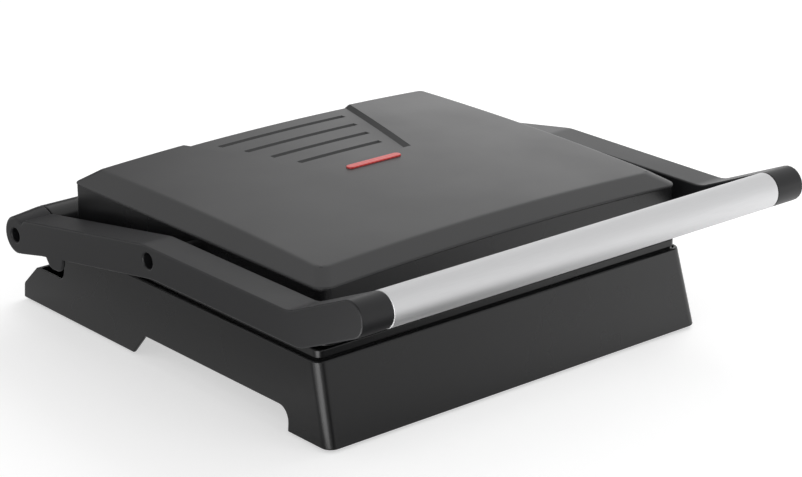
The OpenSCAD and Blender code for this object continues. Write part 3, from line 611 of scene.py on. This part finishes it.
def turned(name: str, profile: Iterable[tuple[float, float]], start: Vector) -> bpy.types.Object:
    """A closed ring of revolution about a line along X.

    Args:
        name: Name of the piece.
        profile: Points as distance along X from the start, and radius.
        start: Where the line begins.

    Returns:
        The piece.
    """
    bm = bmesh.new()
    verts = [bm.verts.new(start + Vector((along, 0, radius))) for along, radius in profile]
    edges = [bm.edges.new((a, b)) for a, b in zip(verts, verts[1:] + verts[:1])]
    bmesh.ops.spin(
        bm,
        geom=[*verts, *edges],
        cent=start,
        axis=(1, 0, 0),
        angle=math.tau,
        steps=TURNING_STEPS,
        use_merge=True,
    )
    bmesh.ops.remove_doubles(bm, verts=bm.verts[:], dist=TINY)
    return new_piece(name, bm)


# ---------------------------------------------------------------- sub-assemblies


@dataclass
class SubAssembly:
    """Pieces that ride on one body."""

    body: Body

    def mount(
        self, piece: bpy.types.Object, slot: Slot, finish: Finish, replaced: Iterable[str]
    ) -> None:
        """Dresses a new piece, fixes it to the body and hides what it stands for.

        Args:
            piece: The piece, in place.
            slot: The record's slot for its material. Not used.
            finish: The finish that it gets.
            replaced: Nodes that it stands for.
        """
        piece.data.materials.clear()
        piece.data.materials.append(finish.material())
        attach(piece, self.body.value)
        for node in replaced:
            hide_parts(node)
        LOG.info("%s rides on %s in %s", piece.name, self.body.value, finish.name)

    def dress(self, finish: Finish, *nodes: str) -> None:
        """Gives nodes that keep their shape a finish.

        Args:
            finish: The finish.
            *nodes: Names of the nodes.
        """
        for node in nodes:
            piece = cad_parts[node]
            piece.data.materials.clear()
            piece.data.materials.append(finish.material())
            LOG.info("%s is dressed in %s", node, finish.name)

    def moulding(
        self, node: str, radius: float, slot: Slot, finish: Finish, least_degrees: float = 30
    ) -> None:
        """Mounts a node's own shape with softened edges.

        Args:
            node: Name of the node.
            radius: Reach of the rounding.
            slot: The record's slot for its material.
            finish: The finish that it gets.
            least_degrees: Edges that turn less than this are left.
        """
        bm = merged_copy(node)
        soften(bm, radius, least_degrees)
        piece = new_piece(f"{node}_moulding", bm, turn_outwards=False)
        self.mount(piece, slot, finish, [node])


@dataclass
class Base(SubAssembly):
    """The housing, its rim, the lower plate and everything below."""

    body: Body = Body.BASE
    edge_r: float = 0.8 * MM
    rim_edge_r: float = 0.7 * MM
    rib_edge_r: float = 0.35 * MM

    def build(self) -> None:
        """Makes and dresses the base."""
        self.moulding("base_housing", self.edge_r, Slot.HOUSING, HOUSING_PBT)
        self.moulding("base_rim", self.rim_edge_r, Slot.HOUSING, HOUSING_PBT)
        self.moulding("hinge_barrel", self.rim_edge_r, Slot.HOUSING, HOUSING_PBT)
        self.moulding("lower_plate", self.rib_edge_r, Slot.CAST_PLATE, NON_STICK)
        self.dress(COVER_PBT, "bottom_cover")
        self.dress(FOOT_RUBBER, "rubber_feet", "cord_gland")
        self.dress(ZINC_STEEL, "cover_screws", "barrel_screws")
        self.dress(ZINC_STEEL, "lower_plate_screws", "lower_reflector_screws")
        self.dress(BLACK_STEEL, "left_hinge_pin", "right_hinge_pin")
        self.dress(SHEATH_STEEL, "lower_element", "thermal_fuse")
        self.dress(SHIELD_ALUMINIUM, "lower_reflector")
        self.dress(STEATITE, "lower_thermostat", "terminal_block")


@dataclass
class Yoke(SubAssembly):
    """The two arms and the tube between them."""

    body: Body = Body.YOKE
    edge_r: float = 1.1 * MM
    tube_wall: float = 1.2 * MM
    tube_end_r: float = 0.3 * MM

    def build(self) -> None:
        """Makes and dresses the yoke."""
        for node in ("left_arm", "right_arm"):
            self.moulding(node, self.edge_r, Slot.ARM, ARM_PBT, least_degrees=40)
        self.mount(self.tube(), Slot.TUBE, HANDLE_ALUMINIUM, ["handle_tube"])
        self.dress(NYLON, "hinge_bushes", "pivot_bushes")

    def tube(self) -> bpy.types.Object:
        """The handle tube with broken edges, spun about its own line.

        Returns:
            The piece.
        """
        low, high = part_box("handle_tube")
        outer = (high.z - low.z) / 2
        inner = outer - self.tube_wall
        length = high.x - low.x
        nip = self.tube_end_r
        profile = (
            (nip, outer),
            (length - nip, outer),
            (length, outer - nip),
            (length, inner),
            (0, inner),
            (0, outer - nip),
        )
        start = Vector((low.x, (low.y + high.y) / 2, (low.z + high.z) / 2))
        return turned("handle_tube_satin", profile, start)


@dataclass
class LidCover(SubAssembly):
    """The crowned cover: a rounded top edge, a recess open to the rear, and louvre grooves."""

    body: Body = Body.LID
    half_w: float = 143.5 * MM
    front: float = -115.6 * MM
    rear: float = 134.1 * MM
    ridge_z: float = 94.6 * MM
    lip_h: float = 1.0 * MM
    corner_r: float = 8.0 * MM
    ridge_rear_r: float = 3.2 * MM
    top_rear_r: float = 3.5 * MM
    bevel_front: float = 14.2 * MM
    bevel_side: float = 10.3 * MM
    bevel_rear: float = 13.7 * MM
    bevel_h: float = 10.2 * MM
    crown: float = 3.6 * MM
    bow: float = 3.5 * MM
    bow_run: float = 146.5 * MM
    top_edge_r: float = 1.3 * MM
    ridge_edge_r: float = 0.8 * MM
    wall: float = 2.4 * MM
    recess_rear_w: float = 69.0 * MM
    recess_front_w: float = 39.0 * MM
    recess_l: float = 99.5 * MM
    recess_depth: float = 2.0 * MM
    recess_slope: float = 3.7 * MM
    recess_lead: float = 20 * MM
    groove_count: int = 4
    groove_pitch: float = 19.9 * MM
    groove_first: float = 15.8 * MM
    groove_half_w: float = 0.9 * MM
    groove_lip_w: float = 2.3 * MM
    groove_depth: float = 1.5 * MM
    groove_end: float = 13.5 * MM
    groove_end_run: float = 0.8 * MM
    corner_steps: int = 12
    side_cuts: int = 23
    top_edge_steps: int = 5
    ridge_edge_steps: int = 6
    top_columns: int = 16
    top_rows: int = 14
    sharp_degrees: float = 13

    @property
    def top_half_w(self) -> float:
        """Half width of the top inside the side bevels."""
        return self.half_w - self.bevel_side

    @property
    def top_front(self) -> float:
        """Front edge of the top."""
        return self.front + self.bevel_front

    @property
    def top_rear(self) -> float:
        """Rear edge of the top."""
        return self.rear - self.bevel_rear

    @property
    def recess_front_y(self) -> float:
        """Front end of the recess."""
        return self.top_rear - self.recess_l

    def ridge_at(self, x: float, y: float) -> float:
        """Height of the ridge round the cover: crowned at the front, level at the rear."""
        share = (self.rear - y) / (self.rear - self.front)
        return self.ridge_z + self.crown * (1 - (x / self.half_w) ** 2) * share

    def on_ridge(self, at: Vector) -> bool:
        """Whether a point lies on the ridge."""
        return abs(at.z - self.ridge_at(at.x, at.y)) < TINY

    def top_at(self, x: float, y: float) -> float:
        """Height of the crowned top before the recess is sunk.

        Args:
            x: Place across the cover.
            y: Place along it.

        Returns:
            The height.
        """
        across = self.crown * (1 - (x / self.top_half_w) ** 2)
        along = self.bow * ((y - self.top_front - self.bow_run) / self.bow_run) ** 2
        return self.ridge_z + self.bevel_h + across - along

    def recess_half_w(self, y: float) -> float:
        """Half width of the recess at y."""
        share = max(0.0, (self.top_rear - y) / self.recess_l)
        return self.recess_rear_w + (self.recess_front_w - self.recess_rear_w) * share

    def groove_ys(self) -> list[float]:
        """Centre lines of the grooves, the rearmost first."""
        return [self.top_rear - self.groove_first - self.groove_pitch * i for i in range(self.groove_count)]

    def sink(self, x: float, y: float) -> float:
        """How far the recess and its grooves lie below the top.

        Args:
            x: Place across the cover.
            y: Place along it.

        Returns:
            The depth.
        """
        side = (self.recess_half_w(y) - abs(x)) / self.recess_slope
        share = max(0.0, min(1.0, side, (y - self.recess_front_y) / self.recess_slope))
        depth = self.recess_depth * share
        for groove in self.groove_ys():
            across = (self.groove_lip_w - abs(y - groove)) / (self.groove_lip_w - self.groove_half_w)
            along = (self.recess_half_w(groove) - self.groove_end - abs(x)) / self.groove_end_run + 1
            depth += self.groove_depth * max(0.0, min(1.0, across, along))
        return depth

    def build(self) -> None:
        """Models the cover from two outlines and sinks its recess."""
        bm = bmesh.new()
        ridge_face = rounded_sheet(
            bm,
            Vector((-self.half_w, self.front, self.ridge_z)),
            Vector((self.half_w, self.rear, self.ridge_z)),
            self.corner_r,
            self.ridge_rear_r,
            self.corner_steps,
            self.side_cuts,
        )
        top_level = self.ridge_z + self.bevel_h
        top_face = rounded_sheet(
            bm,
            Vector((-self.top_half_w, self.top_front, top_level)),
            Vector((self.top_half_w, self.top_rear, top_level)),
            self.corner_r,
            self.top_rear_r,
            self.corner_steps,
            self.side_cuts,
        )
        for vert in ridge_face.verts:
            vert.co.z = self.ridge_at(vert.co.x, vert.co.y)
        for vert in top_face.verts:
            vert.co.z = self.top_at(vert.co.x, vert.co.y)
        ridge_edges = list(ridge_face.edges)
        top_edges = list(top_face.edges)
        bmesh.ops.delete(bm, geom=[ridge_face], context="FACES_ONLY")
        bmesh.ops.bridge_loops(bm, edges=[*ridge_edges, *top_edges])
        lip = bmesh.ops.extrude_edge_only(bm, edges=ridge_edges)["geom"]
        lip_verts = [g for g in lip if isinstance(g, bmesh.types.BMVert)]
        lip_edges = [g for g in lip if isinstance(g, bmesh.types.BMEdge)]
        bmesh.ops.translate(bm, verts=lip_verts, vec=(0, 0, -self.lip_h))
        self.close_below(bm, lip_edges)
        bmesh.ops.recalc_face_normals(bm, faces=bm.faces[:])
        round_edges(bm, top_edges, self.top_edge_r, self.top_edge_steps)
        ridge = [e for e in bm.edges if all(self.on_ridge(v.co) for v in e.verts)]
        round_edges(bm, ridge, self.ridge_edge_r, self.ridge_edge_steps)
        self.cut_lines(bm)
        bmesh.ops.remove_doubles(bm, verts=bm.verts[:], dist=TINY)
        bm.normal_update()
        drop_doubles(bm)
        self.shape_top(bm)
        piece = new_piece("lid_cover_moulding", bm, self.sharp_degrees)
        self.mount(piece, Slot.LID, LID_PBT, ["lid_cover"])

    def close_below(self, bm: bmesh.types.BMesh, edges: list[bmesh.types.BMEdge]) -> None:
        """Closes the cover from below with a seat and a hollow.

        Args:
            bm: The cover's mesh.
            edges: The lower edge of its lip.
        """
        floor = bmesh.ops.contextual_create(bm, geom=edges)["faces"]
        bmesh.ops.inset_region(bm, faces=floor, thickness=self.wall, use_even_offset=True)
        bmesh.ops.inset_region(bm, faces=floor, thickness=self.wall / 8, use_even_offset=True)
        # The hollow's top is drawn in past the bevels, so that it can't come through them
        middle = Vector((0, (self.front + self.rear) / 2, 0))
        in_sides = 2 * self.bevel_side / self.half_w
        in_ends = 2.5 * self.bevel_front / (self.rear - self.front)
        shrink = (1 - in_sides, 1 - in_ends, 1)
        inner = list({v for f in floor for v in f.verts})
        bmesh.ops.scale(bm, verts=inner, vec=shrink, space=Matrix.Translation(-middle))
        bmesh.ops.translate(bm, verts=inner, vec=(0, 0, self.wall))

    def cut_lines(self, bm: bmesh.types.BMesh) -> None:
        """Cuts the lines along which the top bends: its crown, the recess and the grooves.

        Args:
            bm: The cover's mesh.
        """
        top_inner = self.top_half_w - 2 * self.top_edge_r
        front_inner = self.top_front + 2 * self.top_edge_r
        rear_inner = self.top_rear - 2 * self.top_edge_r

        def on_top(centre: Vector) -> bool:
            """Whether a face belongs to the crowned top."""
            inside = self.top_front < centre.y < self.top_rear and abs(centre.x) < self.top_half_w
            return inside and centre.z > self.ridge_z + self.bevel_h - self.bow

        def behind(centre: Vector) -> bool:
            """Whether a face may carry the recess: the top or the rear bevel."""
            high = centre.z > self.ridge_z + TINY and abs(centre.x) < self.top_half_w
            return high and centre.y > self.recess_front_y - self.recess_lead

        for i in range(self.top_columns + 1):
            x = top_inner * (2 * i / self.top_columns - 1)
            cut(bm, Vector((x, 0, 0)), Vector((1, 0, 0)), on_top)
        for i in range(self.top_rows + 1):
            y = front_inner + (rear_inner - front_inner) * i / self.top_rows
            cut(bm, Vector((0, y, 0)), Vector((0, 1, 0)), on_top)
        slant = Vector((self.recess_rear_w - self.recess_front_w, self.recess_l, 0)).normalized()
        for side in (-1, 1):
            for inwards in (0.0, self.recess_slope):
                at = Vector((side * (self.recess_rear_w - inwards), self.top_rear, 0))
                cut(bm, at, Vector((slant.y, -side * slant.x, 0)), behind)
        for y in (self.recess_front_y, self.recess_front_y + self.recess_slope):
            cut(bm, Vector((0, y, 0)), Vector((0, 1, 0)), behind)
        self.cut_mitres(bm, behind)
        self.cut_grooves(bm, behind)

    def cut_grooves(self, bm: bmesh.types.BMesh, behind: Callable[[Vector], bool]) -> None:
        """Cuts the lines round each groove.

        Args:
            bm: The cover's mesh.
            behind: Says whether a face may carry the recess.
        """
        for groove in self.groove_ys():
            for step in (-self.groove_lip_w, -self.groove_half_w, self.groove_half_w, self.groove_lip_w):
                cut(bm, Vector((0, groove + step, 0)), Vector((0, 1, 0)), behind)
            end = self.recess_half_w(groove) - self.groove_end
            for x in (end, end + self.groove_end_run):
                for side in (-1, 1):
                    cut(
                        bm,
                        Vector((side * x, 0, 0)),
                        Vector((1, 0, 0)),
                        lambda c: behind(c) and abs(c.y - groove) < self.groove_lip_w + MM,
                    )

    def cut_mitres(self, bm: bmesh.types.BMesh, behind: Callable[[Vector], bool]) -> None:
        """Cuts the lines where the recess's side walls meet its front wall.

        Args:
            bm: The cover's mesh.
            behind: Says whether a face may carry the recess.
        """
        inner_y = self.recess_front_y + self.recess_slope
        inner_x = self.recess_half_w(inner_y) - self.recess_slope
        reach = 2 * self.recess_slope
        for side in (-1, 1):
            outer = Vector((side * self.recess_front_w, self.recess_front_y, 0))
            along = Vector((side * inner_x, inner_y, 0)) - outer
            normal = Vector((-along.y, along.x, 0)).normalized()
            cut(
                bm,
                outer,
                normal,
                lambda c: behind(c) and abs(c.x - outer.x) < reach and abs(c.y - outer.y) < reach,
            )

    def shape_top(self, bm: bmesh.types.BMesh) -> None:
        """Sets the height of the top's inner points, then sinks the recess and its grooves.

        Args:
            bm: The cover's mesh.
        """
        margin = self.top_edge_r * 1.2
        ridge_clear = 0.2 * MM
        # The recess has its full depth this far above the ridge, and fades down the rear bevel
        full_rise = self.bevel_h - 0.6 * MM
        for vert in bm.verts:
            x, y, z = vert.co
            if z < self.ridge_at(x, y) + ridge_clear:
                continue
            inner = (
                abs(x) < self.top_half_w - margin
                and self.top_front + margin < y < self.top_rear - margin
                and z > self.ridge_z + self.bevel_h - self.bow - MM
            )
            if inner:
                vert.co.z = self.top_at(x, y)
            rise = max(0.0, min(1.0, (vert.co.z - self.ridge_at(x, y)) / full_rise))
            if y > self.recess_front_y:
                vert.co.z -= self.sink(x, y) * rise


@dataclass
class Lid(SubAssembly):
    """The lid frame, the upper plate, the lamp and the pieces between."""

    body: Body = Body.LID
    edge_r: float = 0.7 * MM
    rib_edge_r: float = 0.35 * MM
    lens_round: float = 0.5 * MM

    def build(self) -> None:
        """Makes and dresses the lid."""
        LidCover().build()
        self.moulding("lid_frame", self.edge_r, Slot.HOUSING, HOUSING_PBT)
        self.moulding("upper_plate", self.rib_edge_r, Slot.CAST_PLATE, NON_STICK)
        self.moulding("lamp_lens", self.lens_round, Slot.LENS, RED_LENS)
        self.dress(ZINC_STEEL, "lid_screws", "upper_plate_screws", "upper_reflector_screws")
        self.dress(BLACK_STEEL, "left_lid_pivot", "right_lid_pivot")
        self.dress(SHEATH_STEEL, "upper_element")
        self.dress(SHIELD_ALUMINIUM, "upper_reflector")
        self.dress(STEATITE, "upper_thermostat")
        self.dress(NYLON, "lamp_holder")


# ---------------------------------------------------------------- studio


def disc(name: str, radius: float, steps: int) -> bpy.types.Object:
    """A flat round face at the origin.

    Args:
        name: Name of the object.
        radius: Its radius.
        steps: Steps round it.

    Returns:
        The linked object.
    """
    bm = bmesh.new()
    bmesh.ops.create_circle(bm, cap_ends=True, radius=radius, segments=steps)
    mesh = bpy.data.meshes.new(name)
    bm.to_mesh(mesh)
    bm.free()
    made = bpy.data.objects.new(name, mesh)
    bpy.context.scene.collection.objects.link(made)
    return made


def bare_paint(name: str) -> bpy.types.Material:
    """A material without any nodes yet.

    Args:
        name: Name of the material.

    Returns:
        The material.
    """
    paint = bpy.data.materials.new(name)
    paint.use_nodes = True
    paint.node_tree.nodes.clear()
    return paint


def shown_rays(tree: bpy.types.NodeTree) -> bpy.types.NodeSocket:
    """Tells the rays that show a thing from those that only light.

    Args:
        tree: The node tree.

    Returns:
        An output that is 1 for camera, glossy and transmission rays.
    """
    rays = add_node(tree, "ShaderNodeLightPath").outputs
    either = {0: rays["Is Camera Ray"], 1: rays["Is Glossy Ray"]}
    first = add_node(tree, "ShaderNodeMath", either, operation="MAXIMUM")
    both = {0: first.outputs[0], 1: rays["Is Transmission Ray"]}
    return add_node(tree, "ShaderNodeMath", both, operation="MAXIMUM").outputs[0]


def distance_fade(tree: bpy.types.NodeTree, start: float, end: float) -> bpy.types.NodeSocket:
    """A value that rises with the distance from the object's origin.

    Args:
        tree: The material's node tree.
        start: Distance up to which it is 0.
        end: Distance from which it is 1.

    Returns:
        The output that carries it.
    """
    where = add_node(tree, "ShaderNodeTexCoord").outputs["Object"]
    far = add_node(tree, "ShaderNodeVectorMath", {0: where}, operation="LENGTH").outputs["Value"]
    limits = {"Value": far, "From Min": start, "From Max": end}
    return add_node(tree, "ShaderNodeMapRange", limits).outputs["Result"]


def finish_stage(
    tree: bpy.types.NodeTree, shown: bpy.types.NodeSocket, hidden: bpy.types.NodeSocket
) -> None:
    """Ends a stage material that is clear where it is hidden.

    Args:
        tree: The material's node tree.
        shown: The shader to show.
        hidden: 1 where the surface is clear.
    """
    clear = add_node(tree, "ShaderNodeBsdfTransparent")
    faded = add_node(tree, "ShaderNodeMixShader", {0: hidden, 1: shown, 2: clear.outputs[0]})
    add_node(tree, "ShaderNodeOutputMaterial", {"Surface": faded.outputs[0]})


@dataclass(frozen=True)
class Card:
    """A round card that only reflections show.

    A dark one flags the white studio off, and a bright one lifts an edge. Core is the share of the
    radius inside which the card is whole. Outside it fades.
    """

    name: str
    centre: tuple[float, float, float]
    reach: tuple[float, float]
    facing: tuple[float, float, float] = (0, 0, 1)
    glow: float = 0.0
    core: float = 0.3
    steps: int = 48

    def build(self) -> None:
        """Places the card and paints it."""
        card = disc(self.name, 1.0, self.steps)
        card.location = self.centre
        card.rotation_euler = Vector(self.facing).to_track_quat("Z", "Y").to_euler()
        card.scale = (*self.reach, 1)
        for rays in ("camera", "diffuse", "transmission", "volume_scatter", "shadow"):
            setattr(card, f"visible_{rays}", False)
        paint = bare_paint(f"{self.name}_paint")
        tree = paint.node_tree
        lit = add_node(tree, "ShaderNodeEmission", {"Color": linear("#ffffff"), "Strength": self.glow})
        finish_stage(tree, lit.outputs[0], distance_fade(tree, self.core, 1.0))
        card.data.materials.append(paint)


# Placed to suit the photograph's view. The comments tell what each changes there.
STUDIO_CARDS = (
    # Darkens the foot of the base's front, and the tube from below
    Card("front_flag", (-0.12, -0.27, 0.002), (0.3, 0.24), glow=0.1),
    # Darkens the left arm's side and the left of the base
    Card("left_flag", (-0.4, 0.14, 0.002), (0.3, 0.45), glow=0.5, core=0.6),
    # Darkens the left of the lid's top
    Card("rear_flag", (0.2, 1.3, 0.4), (0.8, 0.55), facing=(0, -1, 0), glow=0.05, core=0.5),
    # Darkens the tube
    Card("top_flag", (-0.45, -0.35, 1.0), (0.7, 0.6), facing=(0, 0, -1), core=0.5),
    # These two light the base's corner and the front end of the left arm
    Card("left_edge_card", (-0.3, -0.19, 0.003), (0.12, 0.085), glow=6.0, core=0.5),
    Card("left_far_card", (-0.45, -0.11, 0.003), (0.14, 0.09), glow=3.5, core=0.5),
    # A bright band down the base's corner, and a dark one beside it
    Card("corner_card", (-1.15, -0.66, 0.05), (0.58, 0.4), facing=(0.88, 0.47, 0), glow=6.0, core=0.6),
    Card("corner_flag", (-0.28, -1.2, 0.05), (0.36, 0.28), facing=(0, 1, 0), glow=0.02, core=0.6),
    # Lights the right end of the tube
    Card("right_front_card", (0.34, -0.3, 0.003), (0.25, 0.22), glow=1.5),
    # Lights the right of the base's front
    Card("far_right_card", (1.2, -1.0, 0.08), (0.45, 0.32), facing=(-0.65, 0.76, 0), glow=2.2),
    # Lights the rear right of the lid's top
    Card("rear_right_card", (1.35, 1.15, 0.4), (0.6, 0.5), facing=(-0.76, -0.65, 0), glow=1.9, core=0.2),
)


@dataclass
class Studio:
    """A plain pale floor, soft light, and the camera at the photograph's angle."""

    eye: tuple[float, float, float] = (-0.9692, -1.1561, 0.6108)
    towards_eye: tuple[float, float, float] = (-0.6081, -0.7159, 0.3432)
    lens_mm: float = 114.09
    sensor_mm: float = 36.0
    floor_r: float = 3.0
    floor_steps: int = 96
    floor_whole: float = 0.5
    floor_gone: float = 1.4
    fill: float = 0.55
    aim: tuple[float, float, float] = (0, 0, 0.05)

    def build(self) -> None:
        """Sets up the camera, the floor and the light."""
        self.camera()
        self.floor()
        self.sky()
        self.softbox("key_softbox", Vector((1.5, 0.5, 1.3)), size=1.4, watts=14)
        self.softbox("front_softbox", Vector((0.9, -1.9, 1.3)), size=1.2, watts=5)
        for card in STUDIO_CARDS:
            card.build()
        bpy.context.scene.view_settings.view_transform = "Standard"

    def camera(self) -> None:
        """The photograph's camera."""
        data = bpy.data.cameras.new("photo_camera")
        data.lens = self.lens_mm
        data.sensor_width = self.sensor_mm
        camera = bpy.data.objects.new("photo_camera", data)
        camera.location = self.eye
        camera.rotation_euler = Vector(self.towards_eye).to_track_quat("Z", "Y").to_euler()
        bpy.context.scene.collection.objects.link(camera)
        bpy.context.scene.camera = camera

    def floor(self) -> None:
        """A round pale floor that fades into the backdrop, and is clear from below."""
        floor = disc("floor", self.floor_r, self.floor_steps)
        paint = bare_paint("matt_white_floor")
        tree = paint.node_tree
        matt = add_node(tree, "ShaderNodeBsdfDiffuse", {"Color": linear("#dadada")})
        glow = add_node(tree, "ShaderNodeEmission", {"Color": linear("#ffffff"), "Strength": self.fill})
        lit = add_node(tree, "ShaderNodeAddShader", {0: matt.outputs[0], 1: glow.outputs[0]})
        look = {0: shown_rays(tree), 1: matt.outputs[0], 2: lit.outputs[0]}
        shown = add_node(tree, "ShaderNodeMixShader", look)
        faded = distance_fade(tree, self.floor_whole, self.floor_gone)
        below = add_node(tree, "ShaderNodeNewGeometry").outputs["Backfacing"]
        hidden = add_node(tree, "ShaderNodeMath", {0: faded, 1: below}, operation="MAXIMUM")
        finish_stage(tree, shown.outputs[0], hidden.outputs[0])
        floor.data.materials.append(paint)

    def sky(self) -> None:
        """White where it is seen, and a softer level where it lights."""
        world = bpy.data.worlds.new("white_studio")
        bpy.context.scene.world = world
        world.use_nodes = True
        tree = world.node_tree
        tree.nodes.clear()
        lighting, white = (
            add_node(tree, "ShaderNodeBackground", {"Color": linear("#ffffff"), "Strength": strength})
            for strength in (self.fill, 1.0)
        )
        look = {0: shown_rays(tree), 1: lighting.outputs[0], 2: white.outputs[0]}
        mixed = add_node(tree, "ShaderNodeMixShader", look)
        add_node(tree, "ShaderNodeOutputWorld", {"Surface": mixed.outputs[0]})

    def softbox(self, name: str, place_at: Vector, size: float, watts: float) -> None:
        """A square soft light that faces the grill.

        Args:
            name: Name of the light.
            place_at: Where it stands.
            size: Length of its side.
            watts: Its power.
        """
        data = bpy.data.lights.new(name, "AREA")
        data.size = size
        data.energy = watts
        light = bpy.data.objects.new(name, data)
        light.location = place_at
        light.rotation_euler = (place_at - Vector(self.aim)).to_track_quat("Z", "Y").to_euler()
        light.visible_glossy = False
        bpy.context.scene.collection.objects.link(light)


def main() -> None:
    """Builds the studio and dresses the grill."""
    logging.basicConfig(level=logging.INFO, format="%(message)s")
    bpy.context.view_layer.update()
    Studio().build()
    for assembly in (Base(), Yoke(), Lid()):
        assembly.build()
    bpy.context.view_layer.update()


if __name__ == "__main__":
    main()
